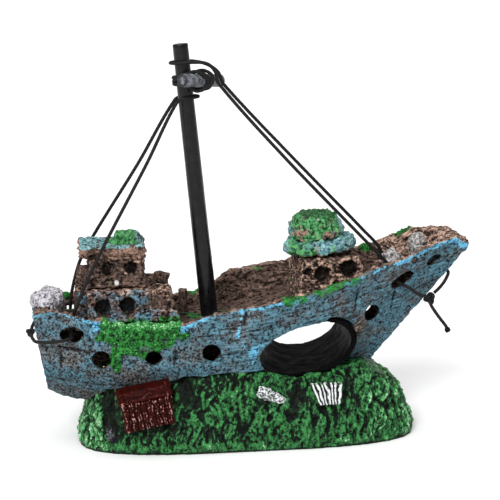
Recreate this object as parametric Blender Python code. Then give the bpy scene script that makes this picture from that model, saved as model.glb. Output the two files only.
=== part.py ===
"""Sunken sailing-ship aquarium ornament with an air stone inside, in metres, +Z up, bow at +X.

The origin is the centre of the rock base's underside. The castings are hollow where air has to rise:
air stone, open chamber in the base, hold of the hull, deck vents, cabins, portholes.
The mast is a loose peg in a socket, and one black cord stays it to the bow and the stern.
"""

import math

import bmesh
import bpy
from mathutils import Matrix, Vector

MM = 0.001
GAP = 0.3 * MM  # glue line between castings, and clearance between everything else
SEAT_GAP = 1.3 * GAP  # the same where two curved faces lie along each other

# Hull: leaning transom at the stern, leaning stem at the bow, broken bulwarks.
STERN_KEEL_X, STERN_RAIL_X = -57.6 * MM, -61.5 * MM
STEM_FOOT_X, STEM_HEAD_X = 37.0 * MM, 66.5 * MM
HULL_WALL = 2.2 * MM
HULL_STATIONS = 24
HULL_SIDE_STEPS = 6
HOLD_START, HOLD_END = 0.035, 0.93  # the hold's share of the hull's length
TOP_CLEARANCE = 25.0 * MM

# Each profile is a short list of (place, height or half-breadth) in millimetres, drawn smooth by along().
RAIL_NEAR = [(-62, 40), (-58, 42), (-47, 40), (-42, 36.5), (-21, 36.2), (-16, 39.4), (0, 42),
             (13, 44), (27, 48), (40, 52), (60, 57.6), (67, 54.5)]
RAIL_FAR = [(-62, 38.6), (-57, 40), (-47, 40.4), (-38, 38.5), (-22, 38), (-12, 38.6), (-4, 44.6),
            (7, 46.9), (27, 49), (40, 53.4), (52, 58.8), (62, 59.2), (67, 56)]
KEEL = [(0.0, 15.2), (0.06, 12.2), (0.2, 11), (0.8, 13), (1.0, 20)]  # by share of the length
HALF_BREADTH = [(0.0, 11.5), (0.08, 14), (0.25, 17.3), (0.5, 18.2), (0.65, 17), (0.8, 12.5),
                (0.9, 8), (0.97, 4), (1.0, 1.6)]
VEE = [(0.0, 0.35), (0.15, 0.1), (0.6, 0.0), (0.85, 0.7), (1.0, 1.0)]  # 0 round bilge, 1 vee section

# Portholes go through both sides: (x, z, radius along the hull, radius up, tilt in degrees).
PORTHOLES = [(-50.7, 34.6, 3.4, 2.3, 0), (-42.6, 27.2, 2.8, 2.6, 0), (-28.2, 28.0, 2.4, 2.2, 0),
             (-12.1, 28.9, 2.6, 2.4, 0), (35.8, 36.4, 2.5, 2.7, 0), (44.6, 46.0, 4.0, 2.0, 32)]
NEAR_PORTHOLES = [(47.8, 52.0, 1.1, 1.1, 0), (54.6, 51.0, 2.5, 1.5, 30)]

# Cabin windows are blind recesses, as (x, z, radius), with their floors this far to each side of the middle.
STERN_LOWER_WINDOWS = [(-41.9, 41.6, 2.4), (-34.9, 42.0, 2.4)]
STERN_UPPER_WINDOWS = [(-40.2, 51.9, 1.9), (-33.7, 52.1, 1.9)]
BOW_WINDOWS = [(16.6, 49.4, 1.2), (20.9, 48.4, 2.4), (28.7, 49.9, 2.7)]
STERN_LOWER_FLOORS, STERN_UPPER_FLOORS, BOW_FLOORS = (-9.4, 9.4), (-6.6, 5.5), (-6.6, 6.6)

# Rock base: a mound on a superellipse outline, with the swim-through tunnel laid across it.
BASE_HALF_LENGTH, BASE_HALF_DEPTH = 49.3 * MM, 19.6 * MM
BASE_SQUARENESS = 3.2
BASE_RIM = 1.8 * MM
BASE_SLOPE, BASE_END_SLOPE = 0.28, 0.14  # share of the radius over which the flank climbs
RIDGE = [(-49, 12), (-43, 20), (-29, 21.6), (-15, 23), (-2, 23.4), (4, 22), (27, 22), (32, 23.6),
         (37, 19.8), (41, 16.8), (46, 14.6), (49, 12.5)]
TUNNEL_CENTRE = Vector((17.0 * MM, 0, 28.9 * MM))
TUNNEL_HALF_LONG, TUNNEL_HALF_HIGH = 12.5 * MM, 7.1 * MM
TUNNEL_SKEW, TUNNEL_RISE, TUNNEL_NARROWING = 0.12, 0.037, 0.08  # per length towards +Y
TUNNEL_TILT = math.radians(12)
TUNNEL_WALL = 1.6 * MM
TUNNEL_HALF_DEPTH = 14.0 * MM
TUNNEL_SEGMENTS = 34

# Deck: one plate inside the bulwarks, flat under the stern cabin and climbing to the bow.
DECK = [(-61, 37.4), (-22, 37.0), (-18, 35.0), (-5, 35.0), (4, 37.6), (10, 39.4), (17, 41.6),
        (26, 43.6), (34, 46), (44, 49), (52, 51.5), (60, 53.6)]
DECK_THICK = 2.2 * MM
DECK_STEPS = 26
STAY_HOLES = [(-50.6, 9.0, 2.2), (42.3, 5.0, 1.9)]  # (x, distance from the middle, radius)
SKIRT_STRETCH = 0.2  # the bow turret's skirt reaches this share further to the bow
DECK_VENTS = [(-41.0, 3.4), (-34.5, 3.4), (-28.0, 3.0), (21.0, 2.6), (28.0, 2.6)]  # (x, radius)

# Mast: a tapered peg that leans aft, standing in a socket under the deck.
MAST_FOOT = Vector((-9.75 * MM, 0, 26.3 * MM))
MAST_TOP = Vector((-18.5 * MM, 0, 113.9 * MM))
MAST_FOOT_R, MAST_TOP_R = 2.55 * MM, 2.15 * MM
SOCKET_WALL = 2.0 * MM
SOCKET_FLOOR = 1.6 * MM

# Yard: a short spar lashed across the mast's fore side.
YARD_HEIGHT = 103.6 * MM
YARD_R, YARD_HALF_LENGTH = 1.85 * MM, 8.6 * MM
YARD_SWIVEL = math.radians(45)  # from the hull's length, at rest
YARD_DIP = -0.08
YARD_SHIFT = 2.2 * MM  # its middle lies this far from the mast, to the far side
YARD_CUP_R, YARD_CUP_DEPTH = 1.15 * MM, 0.8 * MM

CORD_D = 1.0 * MM
CORD_STEP = 3.0  # centreline points are this many diameters apart

# Air supply in the base.
CHAMBER = (Vector((-41.5, -10.5, -1.0)) * MM, Vector((-8.0, 10.5, 30.0)) * MM)
INLET_X, INLET_Y, INLET_Z = -13.0 * MM, 2.0 * MM, 8.6 * MM
STONE_R, STONE_LENGTH = 5.6 * MM, 14.0 * MM
STONE_END_X = -25.6 * MM

ROUND = 20


def along(profile, place):
    """Height in millimetres of a smooth line through the profile's points, level beyond its ends."""
    if place <= profile[0][0]:
        return profile[0][1]
    for i in range(len(profile) - 1):
        (x0, y0), (x1, y1) = profile[i], profile[i + 1]
        if place <= x1:
            share = (place - x0) / (x1 - x0)
            share = share * share * (3 - 2 * share) * 0.5 + share * 0.5
            return y0 + (y1 - y0) * share
    return profile[-1][1]


def material(name, colour, roughness, metallic=0.0):
    made = bpy.data.materials.new(name)
    made.use_nodes = True
    shader = made.node_tree.nodes["Principled BSDF"]
    shader.inputs["Base Color"].default_value = (*colour, 1)
    shader.inputs["Roughness"].default_value = roughness
    shader.inputs["Metallic"].default_value = metallic
    return made


def add(name, bm, finish=None):
    """Turns a bmesh into an object with outward faces."""
    bmesh.ops.recalc_face_normals(bm, faces=bm.faces)
    mesh = bpy.data.meshes.new(name)
    bm.to_mesh(mesh)
    bm.free()
    mesh.shade_smooth()
    mesh.set_sharp_from_angle(angle=math.radians(35))
    made = bpy.data.objects.new(name, mesh)
    bpy.context.scene.collection.objects.link(made)
    if finish:
        made.data.materials.append(finish)
    return made


def helper(made):
    """Marks a cutter, which is not part of the object."""
    made.hide_render = True
    made.display_type = "WIRE"
    return made


def pivot_at(body, place):
    """Puts a moving piece's origin on its joint's axis."""
    body.data.transform(Matrix.Translation(-place))
    body.location = place
    return body


def combine(body, tool, how="DIFFERENCE"):
    modifier = body.modifiers.new(tool.name, "BOOLEAN")
    modifier.operation = how
    modifier.object = tool
    modifier.solver = "EXACT"
    return body


def loft(rings, centre_ends=False):
    """Closed body through rings of equal length; its ends are flat, or fans to the last rings' middles."""
    bm = bmesh.new()
    loops = [[bm.verts.new(p) for p in ring] for ring in rings]
    for low, high in zip(loops, loops[1:]):
        for i in range(len(low)):
            j = (i + 1) % len(low)
            bm.faces.new((low[i], low[j], high[j], high[i]))
    for loop in (loops[0], loops[-1]):
        if centre_ends:
            middle = bm.verts.new(sum((v.co for v in loop), Vector()) / len(loop))
            for i in range(len(loop)):
                bm.faces.new((loop[i], loop[(i + 1) % len(loop)], middle))
        else:
            bm.faces.new(loop)
    return bm


def circle(centre, across, up, r_across, r_up, steps=ROUND):
    return [centre + across * (r_across * math.cos(2 * math.pi * i / steps))
            + up * (r_up * math.sin(2 * math.pi * i / steps)) for i in range(steps)]


def square_to(direction):
    """Two unit vectors at right angles to a direction and to each other."""
    along_it = direction.normalized()
    side = along_it.cross(Vector((0, 1, 0)))
    if side.length < 0.1:
        side = along_it.cross(Vector((1, 0, 0)))
    side.normalize()
    return side, along_it.cross(side)


def rod(start, end, r_start, r_end=None, steps=ROUND):
    """Round bar, tapered if two radii are given."""
    side, other = square_to(end - start)
    r_end = r_start if r_end is None else r_end
    return loft([circle(start, side, other, r_start, r_start, steps),
                 circle(end, side, other, r_end, r_end, steps)])


def turned(base, direction, profile, steps=ROUND):
    """Solid of revolution from (distance along, radius) pairs."""
    side, other = square_to(direction)
    step = direction.normalized()
    return loft([circle(base + step * d, side, other, r, r, steps) for d, r in profile])


def block(low, high, taper=(0.0, 0.0), shift=(0.0, 0.0)):
    """Box from corner to corner, whose top is smaller by taper and moved by shift."""
    rings = []
    for z, (tx, ty), (sx, sy) in ((low.z, (0, 0), (0, 0)), (high.z, taper, shift)):
        rings.append([Vector((low.x + tx + sx, low.y + ty + sy, z)),
                      Vector((high.x - tx + sx, low.y + ty + sy, z)),
                      Vector((high.x - tx + sx, high.y - ty + sy, z)),
                      Vector((low.x + tx + sx, high.y - ty + sy, z))])
    return loft(rings)


def mm(x, y, z):
    return Vector((x, y, z)) * MM


# ---------------------------------------------------------------- hull and base bodies

def hull_ring(share, inset, rise):
    """One leaning frame of the hull, from the near rail down round the keel to the far rail."""
    rail_x = STERN_RAIL_X + (STEM_HEAD_X - STERN_RAIL_X) * share
    keel_x = STERN_KEEL_X + (STEM_FOOT_X - STERN_KEEL_X) * share
    keel_z = along(KEEL, share) * MM + inset
    breadth = max(along(HALF_BREADTH, share) * MM - inset, 0.4 * MM)
    vee = along(VEE, share)
    near, far = [], []
    for side, rail, out in ((-1, RAIL_NEAR, near), (1, RAIL_FAR, far)):
        rail_z = along(rail, rail_x / MM) * MM
        for i in range(1, HULL_SIDE_STEPS + 1):
            t = (i / HULL_SIDE_STEPS) ** 1.5
            full = math.sqrt(1 - (1 - t) ** 4)
            y = breadth * (full * (1 - vee) + t ** 0.8 * vee)
            out.append(Vector((keel_x + (rail_x - keel_x) * t, side * y, keel_z + (rail_z - keel_z) * t)))
        if rise:
            lean = (rail_x - keel_x) / (rail_z - keel_z)
            out.append(out[-1] + Vector((lean, 0, 1)) * rise)
    return near[::-1] + [Vector((keel_x, 0, keel_z))] + far


def hull_body(start=0.0, end=1.0, inset=0.0, rise=0.0):
    shares = [start + (end - start) * i / HULL_STATIONS for i in range(HULL_STATIONS + 1)]
    return loft([hull_ring(share, inset, rise) for share in shares])


def hold_body(shrink=0.0):
    """The hollow inside the hull, run up past the rails; shrink leaves the glue line to what fits in it."""
    length = STEM_HEAD_X - STERN_RAIL_X
    end_gap = 2 * shrink / length
    return hull_body(HOLD_START + end_gap, HOLD_END - end_gap, HULL_WALL + shrink, TOP_CLEARANCE)


def mound_height(x, radius):
    """Height of the rock at x, where radius is 1 on the outline and 0 at the middle."""
    ends = min(max((abs(x) - 30 * MM) / (12 * MM), 0), 1)
    slope = BASE_SLOPE + (BASE_END_SLOPE - BASE_SLOPE) * ends
    climb = min(max((1 - radius) / slope, 0), 1)
    ridge = along(RIDGE, x / MM) * MM
    return BASE_RIM + (ridge - BASE_RIM) * (1 - (1 - climb) ** 2.2)


def mound_body(grow=0.0):
    rings = []
    steps = 40
    for radius in (1.0, 0.985, 0.955, 0.92, 0.88, 0.84, 0.79, 0.72, 0.5, 0.25):
        ring = []
        for i in range(steps):
            angle = 2 * math.pi * i / steps
            c, s = math.cos(angle), math.sin(angle)
            reach = (abs(c) ** BASE_SQUARENESS + abs(s) ** BASE_SQUARENESS) ** (-1 / BASE_SQUARENESS)
            x = radius * reach * c * (BASE_HALF_LENGTH + grow)
            y = radius * reach * s * (BASE_HALF_DEPTH + grow)
            ring.append(Vector((x, y, mound_height(x, radius) + grow)))
        if radius == 1.0:
            rings.append([Vector((p.x, p.y, -grow)) for p in ring])
        rings.append(ring)
    bm = loft(rings, centre_ends=True)
    for vert in bm.verts:
        if vert.co.xy.length < 1e-6 and vert.co.z > BASE_RIM:
            vert.co.z = mound_height(0, 0) + grow
    return bm


def tunnel_prism(grow, half_depth):
    """The tunnel's tilted ellipse, run along Y: to the far side it narrows, and shifts to the bow and up."""
    across = Vector((math.cos(TUNNEL_TILT), 0, math.sin(TUNNEL_TILT)))
    up = Vector((-math.sin(TUNNEL_TILT), 0, math.cos(TUNNEL_TILT)))
    rings = []
    for y in (-half_depth, half_depth):
        centre = TUNNEL_CENTRE + Vector((TUNNEL_SKEW * y, y, TUNNEL_RISE * y))
        half_long = TUNNEL_HALF_LONG - TUNNEL_NARROWING * y + grow
        rings.append(circle(centre, across, up, half_long, TUNNEL_HALF_HIGH + grow, TUNNEL_SEGMENTS))
    return loft(rings)


def porthole(x, z, r_along, r_up, tilt, low_y=-40.0, high_y=40.0):
    turn = math.radians(tilt)
    across = Vector((math.cos(turn), 0, math.sin(turn)))
    up = Vector((-math.sin(turn), 0, math.cos(turn)))
    rings = [circle(mm(x, y, z), across, up, r_along * MM, r_up * MM, 12) for y in (low_y, high_y)]
    return loft(rings)


def cut_windows(body, windows, floors):
    """Blind round recesses in both side walls, down to the near and the far floor."""
    near, far = floors
    for i, (x, z, r) in enumerate(windows):
        for side, low_y, high_y in (("near", -40.0, near), ("far", far, 40.0)):
            cutter = porthole(x, z, r, r, 0, low_y, high_y)
            combine(body, helper(add(f"cut_{body.name}_{side}_window_{i}", cutter)))


def build_hull(paint, cutters):
    hull = add("hull_shell", hull_body(), paint)
    combine(hull, cutters["hold"])
    combine(hull, cutters["mound"])
    combine(hull, cutters["tunnel_bore"])
    combine(hull, cutters["tunnel_seat"])
    for i, hole in enumerate(PORTHOLES):
        combine(hull, helper(add(f"cut_porthole_{i}", porthole(*hole))))
    for i, hole in enumerate(NEAR_PORTHOLES):
        combine(hull, helper(add(f"cut_near_porthole_{i}", porthole(*hole, high_y=0.0))))
    return hull


def build_base(rock, cutters):
    base = add("rock_base", mound_body(), rock)
    combine(base, cutters["tunnel_seat"])
    combine(base, cutters["tunnel_bore"])
    combine(base, helper(add("cut_chamber", block(*CHAMBER))))
    bore = rod(Vector((INLET_X, 7 * MM, INLET_Z)), Vector((INLET_X, 30 * MM, INLET_Z)), 4.3 * MM)
    combine(base, helper(add("cut_inlet", bore)))
    return base


def build_tunnel(black, cutters):
    liner = add("swim_tunnel", tunnel_prism(TUNNEL_WALL, TUNNEL_HALF_DEPTH), black)
    return combine(liner, cutters["tunnel_bore"])


def mast_point(z):
    share = (z - MAST_FOOT.z) / (MAST_TOP.z - MAST_FOOT.z)
    return MAST_FOOT.lerp(MAST_TOP, share)


def deck_prism(top_gap, thickness):
    """The deck's own profile across the whole hull, raised by top_gap."""
    start, end = DECK[0][0], DECK[-1][0]
    top = [start + (end - start) * i / DECK_STEPS for i in range(DECK_STEPS + 1)]
    outline = [mm(x, 0, along(DECK, x)) + Vector((0, 0, top_gap)) for x in top]
    outline += [mm(x, 0, along(DECK, x)) - Vector((0, 0, thickness)) for x in reversed(top)]
    return loft([[p + mm(0, y, 0) for p in outline] for y in (-24, 24)])


def build_deck(timber, cutters):
    """Deck plate trimmed to the hold, with the mast socket under it."""
    deck = add("deck", deck_prism(0.0, DECK_THICK), timber)
    lean = (MAST_TOP - MAST_FOOT).normalized()
    socket_r = MAST_FOOT_R + GAP
    boss_low = MAST_FOOT - lean * (GAP + SOCKET_FLOOR)
    boss = rod(boss_low, mast_point(34.0 * MM), socket_r + SOCKET_WALL)
    combine(deck, helper(add("join_boss", boss)), "UNION")
    combine(deck, cutters["hold_fit"], "INTERSECT")
    combine(deck, cutters["tunnel_seat"])
    bore = rod(MAST_FOOT - lean * GAP, mast_point(45 * MM), socket_r)
    combine(deck, helper(add("cut_socket", bore)))
    holes = [(x, 0, r) for x, r in DECK_VENTS]
    holes += [(x, side * y, r) for x, y, r in STAY_HOLES for side in (-1, 1)]
    for i, (x, y, r) in enumerate(holes):
        drill = rod(mm(x, y, 20), mm(x, y, 70), r * MM, steps=12)
        combine(deck, helper(add(f"cut_deck_{i}", drill)))
    return deck


# ---------------------------------------------------------------- cabins and deck fittings

def hollow(body, low, high, taper, shift):
    return combine(body, helper(add(f"{body.name}_hollow", block(low, high, taper, shift))))


def build_stern_cabin(timber, roof_paint, cutters):
    floor = 37.8 * MM
    lower = add("stern_cabin_lower", block(Vector((-46.2 * MM, -11.8 * MM, floor)), mm(-20.6, 11.8, 46.2),
                                           (1.3 * MM, 1.0 * MM), (-1.1 * MM, 0)), timber)
    ledge = block(Vector((-45.6 * MM, -14.3 * MM, floor)), mm(-19.9, 14.3, 40.6), (1.4 * MM, 2.0 * MM))
    ledge = combine(helper(add("join_ledge", ledge)), cutters["hull_skin"])
    combine(lower, ledge, "UNION")
    aft_wing = block(Vector((-49.3 * MM, -7.9 * MM, floor + 0.2 * MM)), mm(-44.0, 7.9, 45.6), (0.4 * MM, 0.4 * MM))
    combine(lower, helper(add("join_aft_wing", aft_wing)), "UNION")
    hollow(lower, Vector((-44.0 * MM, -8.4 * MM, floor - MM)), mm(-23.2, 8.4, 44.2),
           (1.0 * MM, 0.8 * MM), (-0.8 * MM, 0))
    cut_windows(lower, STERN_LOWER_WINDOWS, STERN_LOWER_FLOORS)
    vent = rod(mm(-37.8, 0, 40), mm(-37.8, 0, 50), 4.5 * MM)
    combine(lower, helper(add("cut_lower_vent", vent)))

    upper = add("stern_cabin_upper", block(mm(-46.0, -8.3, 46.5), mm(-29.9, 7.2, 54.8),
                                           (0.4 * MM, 0.4 * MM), (0.4 * MM, 0)), timber)
    hollow(upper, mm(-43.9, -5.0, 46.0), mm(-32.0, 3.9, 53.2), (0.3 * MM, 0.3 * MM), (0.3 * MM, 0))
    cut_windows(upper, STERN_UPPER_WINDOWS, STERN_UPPER_FLOORS)

    roof = block(mm(-48.2, -9.4, 55.1), mm(-29.3, 7.3, 58.5), (0.6 * MM, 0.6 * MM))
    roof = add("stern_cabin_roof", roof, roof_paint)
    hump = rod(mm(-34.3, -1.5, 58.0), mm(-34.3, -1.5, 61.2), 4.8 * MM, 3.2 * MM, 16)
    combine(roof, helper(add("join_hump", hump)), "UNION")


def build_bow_cabin(timber, moss, roof_paint):
    low_x, high_x = 14.4, 33.6
    outline = [mm(x, 0, along(DECK, x) + 0.5) for x in (low_x, 18, 22, 26, 30, high_x)]
    outline += [mm(high_x - 0.6, 0, 53.0), mm(low_x + 0.4, 0, 53.0)]
    rings = [[p + Vector((0, y, 0)) for p in outline] for y in (-8.4 * MM, 8.4 * MM)]
    lower = add("bow_cabin", loft(rings), timber)
    room = [mm(16.4, 0, 38), mm(31.4, 0, 38), mm(31.2, 0, 51.2), mm(16.7, 0, 51.2)]
    rings = [[p + Vector((0, y, 0)) for p in room] for y in (-5.2 * MM, 5.2 * MM)]
    combine(lower, helper(add("cut_bow_room", loft(rings))))
    cut_windows(lower, BOW_WINDOWS, BOW_FLOORS)
    combine(lower, helper(add("cut_bow_vent", rod(mm(19.6, 0, 45), mm(19.6, 0, 60), 3.4 * MM))))

    lean = Vector((-0.09, 0, 1))
    foot = mm(20.9, -0.6, 54.3)
    skirt = turned(foot, lean, [(0, 8.4 * MM), (0.9 * MM, 9.6 * MM), (2.4 * MM, 9.4 * MM),
                                (3.9 * MM, 8.3 * MM)], 16)
    for vert in skirt.verts:
        vert.co.x += SKIRT_STRETCH * max(vert.co.x - foot.x, 0)
    skirt = add("bow_turret_skirt", skirt, roof_paint)
    combine(skirt, helper(add("cut_skirt", rod(foot - lean * 2 * MM, foot + lean * 8 * MM, 3.4 * MM))))
    cap = turned(foot + lean * 4.2 * MM, lean, [(0, 7.8 * MM), (1.6 * MM, 8.0 * MM), (4.0 * MM, 7.4 * MM),
                                                (5.9 * MM, 6.0 * MM), (6.8 * MM, 4.4 * MM)], 16)
    cap = add("bow_turret_cap", cap, moss)
    inside = turned(foot + lean * 3.4 * MM, lean, [(0, 4.6 * MM), (4.4 * MM, 4.4 * MM)], 16)
    combine(cap, helper(add("cut_cap", inside)))
    combine(cap, helper(add("cut_cap_vent", porthole(20.1, 60.6, 0.9, 0.9, 0, low_y=0.0))))


def lump(centre, half):
    """A faceted ellipsoid."""
    bm = bmesh.new()
    bmesh.ops.create_icosphere(bm, subdivisions=2, radius=1.0)
    for vert in bm.verts:
        vert.co = centre + Vector((vert.co.x * half.x, vert.co.y * half.y, vert.co.z * half.z))
    return bm


def set_in_hull(body, cutters):
    """Trims a piece to the deck and the bulwarks, with the glue line between them."""
    combine(body, cutters["deck_space"])
    return combine(body, cutters["hull_skin"])


def build_deck_fittings(timber, grey, silver, cutters):
    add("quarter_post", rod(mm(-47.0, -4.8, 46.6), mm(-47.0, -4.6, 52.4), 2.3 * MM, 1.8 * MM, 12), timber)
    cabin = bpy.data.objects["stern_cabin_upper"]
    recess = rod(mm(-47.0, -4.8, 40.0), mm(-47.0, -4.6, 54.2), 2.8 * MM, steps=12)
    combine(cabin, helper(add("cut_quarter_post", recess)))
    add("waist_post_tall", rod(mm(-24.9, -2.6, 46.8), mm(-24.5, -2.6, 49.2), 2.1 * MM, 2.3 * MM, 12), timber)
    add("waist_post_short", rod(mm(-18.1, 3.0, 36.2), mm(-18.1, 3.0, 43.0), 1.4 * MM, 1.3 * MM, 12), timber)
    rocks = (("taffrail_rock", (-56.9, 0, 41.0), (4.9, 7.4, 5.2), grey),
             ("foredeck_rock_aft", (42.9, -0.9, 50.6), (3.2, 2.5, 3.3), silver),
             ("foredeck_rock_fore", (50.9, 0.2, 54.0), (3.3, 3.2, 4.4), silver))
    for name, centre, half, finish in rocks:
        set_in_hull(add(name, lump(mm(*centre), mm(*half)), finish), cutters)


# ---------------------------------------------------------------- pieces on the rock's front

def set_on_rock(body, cutters):
    """Trims a piece's back to the rock face, with the glue line between them."""
    return combine(body, cutters["mound"])


def build_chest(wood, cutters):
    turn = Matrix.Rotation(math.radians(-10), 4, "Y")
    centre = mm(-30.7, -17.6, 15.2)
    half_x, half_y = 7.0 * MM, 3.4 * MM
    body = add("chest_body", block(Vector((-half_x, -half_y, -6.4 * MM)), Vector((half_x, half_y, 1.9 * MM)),
                                   (-0.3 * MM, -0.2 * MM)), wood)
    steps = 8
    arch = [Vector((0, half_y * 1.12 * math.cos(math.pi * i / steps),
                    2.2 * MM + 3.6 * MM * math.sin(math.pi * i / steps) ** 0.7)) for i in range(steps + 1)]
    rings = [[p + Vector((x, 0, 0)) for p in arch] for x in (-half_x - 0.6 * MM, half_x + 0.6 * MM)]
    lid = add("chest_lid", loft(rings), wood)
    for piece in (body, lid):
        piece.data.transform(Matrix.Translation(centre) @ turn)
        set_on_rock(piece, cutters)
        combine(piece, cutters["hull_space"])


def build_shells(white, cutters):
    scallop = []
    middle = mm(20.6, -17.0, 16.0)
    teeth = 14
    for depth, size in ((-2.4, 0.9), (-1.2, 1.0), (0.4, 0.92)):
        low = [mm(-2.2 + 6.2 * i / teeth, depth, -3.2 if i % 2 else -2.6) for i in range(teeth + 1)]
        high = [mm(-5.0 + 9.4 * i / teeth, depth, 3.2 if i % 2 else 2.8) for i in range(teeth + 1)]
        scallop.append([middle + Vector((p.x * size, p.y, p.z * size)) for p in low + high[::-1]])
    set_on_rock(add("scallop_shell", loft(scallop), white), cutters)

    tip, mouth = mm(8.8, -18.0, 14.2), mm(0.9, -17.6, 17.6)
    length = (tip - mouth).length
    whorls = [(0, 1.3), (0.14, 1.9), (0.24, 1.65), (0.36, 1.85), (0.46, 1.55), (0.6, 1.6), (0.7, 1.3),
              (0.84, 1.25), (1.0, 0.7)]
    spire = turned(mouth, tip - mouth, [(share * length, r * MM) for share, r in whorls], 14)
    set_on_rock(add("turret_shell", spire, white), cutters)


# ---------------------------------------------------------------- air supply

def tube(start, end, outer, inner, finish, name):
    body = add(name, rod(start, end, outer), finish)
    side = (end - start).normalized() * MM
    return combine(body, helper(add(f"{name}_bore", rod(start - side, end + side, inner))))


def build_air_supply(stone, plastic, rubber, clear):
    leg_end = Vector((INLET_X, 27.0 * MM, INLET_Z))
    corner = Vector((INLET_X, INLET_Y, INLET_Z))
    barbs = [(0, 2.0), (18.2, 2.0), (18.5, 2.6), (20.8, 2.0), (21.1, 2.6), (23.4, 2.0), (25.0, 1.8)]
    leg = turned(corner, leg_end - corner, [(d * MM, r * MM) for d, r in barbs], 20)
    elbow = add("air_inlet_elbow", leg, plastic)
    inner_end = corner + mm(-6.0, 0, 0)
    arm = rod(corner + mm(1.9, 0, 0), inner_end, 1.95 * MM, steps=20)
    combine(elbow, helper(add("join_elbow_arm", arm)), "UNION")
    for name, start, end in (("leg", corner, leg_end + mm(0, 2, 0)),
                             ("arm", corner + mm(0.7, 0, 0), inner_end + mm(-2, 0, 0))):
        combine(elbow, helper(add(f"cut_elbow_{name}", rod(start, end, 1.1 * MM, steps=12))))

    tube(Vector((INLET_X, 12.0 * MM, INLET_Z)), Vector((INLET_X, 17.6 * MM, INLET_Z)),
         4.0 * MM, 2.3 * MM, rubber, "inlet_grommet")
    hose_start, hose_end = corner + mm(-3.2, 0, 0), corner + mm(-11.0, 0, 0)
    tube(hose_start, hose_end, 3.2 * MM, 2.25 * MM, clear, "air_hose")

    stone_face = Vector((STONE_END_X, corner.y, INLET_Z))
    nipple = turned(stone_face + mm(GAP / MM, 0, 0), mm(1, 0, 0),
                    [(0, 3.4 * MM), (0.9 * MM, 3.4 * MM), (0.95 * MM, 1.9 * MM), (5.6 * MM, 1.9 * MM)], 20)
    nipple = add("stone_nipple", nipple, plastic)
    bore = rod(stone_face - mm(2, 0, 0), stone_face + mm(9, 0, 0), 1.0 * MM, steps=12)
    combine(nipple, helper(add("cut_nipple", bore)))
    profile = [(0, 0.82), (0.06, 1.0), (0.94, 1.0), (1.0, 0.82)]
    body = turned(stone_face, mm(-1, 0, 0), [(d * STONE_LENGTH, r * STONE_R) for d, r in profile], 20)
    add("air_stone", body, stone)


# ---------------------------------------------------------------- spars and rigging

def yard_frame():
    """The yard's middle, its own direction, the direction it stands off the mast, and the mast's."""
    up = (MAST_TOP - MAST_FOOT).normalized()
    spar = Vector((math.cos(YARD_SWIVEL), math.sin(YARD_SWIVEL), YARD_DIP)).normalized()
    fore = spar.cross(up).normalized()
    mast_r = MAST_TOP_R + 0.1 * MM
    touch = mast_point(YARD_HEIGHT) + fore * (mast_r + GAP + YARD_R)
    return touch, spar, fore, up


def build_spars(black, grey):
    pivot_at(add("mast", rod(MAST_FOOT, MAST_TOP, MAST_FOOT_R, MAST_TOP_R), black), MAST_FOOT)
    touch, spar, _, _ = yard_frame()
    middle = touch + spar * YARD_SHIFT
    ends = [middle - spar * YARD_HALF_LENGTH, middle + spar * YARD_HALF_LENGTH]
    yard = pivot_at(add("yard", rod(*ends, YARD_R), grey), mast_point(YARD_HEIGHT))
    for i, (end, way) in enumerate(zip(ends, (1, -1))):
        cup = rod(end - spar * way * MM, end + spar * way * YARD_CUP_DEPTH, YARD_CUP_R, steps=12)
        combine(yard, helper(add(f"cut_yard_end_{i}", cup)))


def smooth_route(points, step, closed=False):
    """Points a step apart on a smooth curve through a route's own points."""
    count = len(points)
    fine = []
    spans = count if closed else count - 1
    for i in range(spans):
        if closed:
            p0, p1, p2, p3 = (points[(i + k) % count] for k in (-1, 0, 1, 2))
        else:
            p0, p1 = points[max(i - 1, 0)], points[i]
            p2, p3 = points[i + 1], points[min(i + 2, count - 1)]
        pieces = 24
        for k in range(pieces):
            t = k / pieces
            reach = (p2 - p1).length
            start = (p2 - p0).normalized() * reach
            finish = (p3 - p1).normalized() * reach
            fine.append(p1 * (2 * t ** 3 - 3 * t ** 2 + 1) + start * (t ** 3 - 2 * t ** 2 + t)
                        + p2 * (3 * t ** 2 - 2 * t ** 3) + finish * (t ** 3 - t ** 2))
    if not closed:
        fine.append(points[-1])
    ring = fine + [fine[0]] if closed else fine
    lengths = [0.0]
    for a, b in zip(ring, ring[1:]):
        lengths.append(lengths[-1] + (b - a).length)
    pieces = max(round(lengths[-1] / step), 2)
    out, at = [], 0
    for k in range(pieces if closed else pieces + 1):
        goal = lengths[-1] * k / pieces
        while at < len(lengths) - 2 and lengths[at + 1] < goal:
            at += 1
        span = lengths[at + 1] - lengths[at]
        out.append(ring[at].lerp(ring[at + 1], (goal - lengths[at]) / span if span else 0))
    return out


def cord(name, route, finish, closed=False, step=CORD_STEP):
    line = smooth_route(route, CORD_D * step, closed)
    curve = bpy.data.curves.new(name, "CURVE")
    curve.dimensions = "3D"
    curve.bevel_depth = CORD_D / 2
    curve.bevel_resolution = 2
    curve.use_fill_caps = not closed
    spline = curve.splines.new("POLY")
    spline.points.add(len(line) - 1)
    spline.use_cyclic_u = closed
    for point, place in zip(spline.points, line):
        point.co = (*place, 1)
    curve.materials.append(finish)
    made = bpy.data.objects.new(name, curve)
    bpy.context.scene.collection.objects.link(made)
    return made


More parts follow.
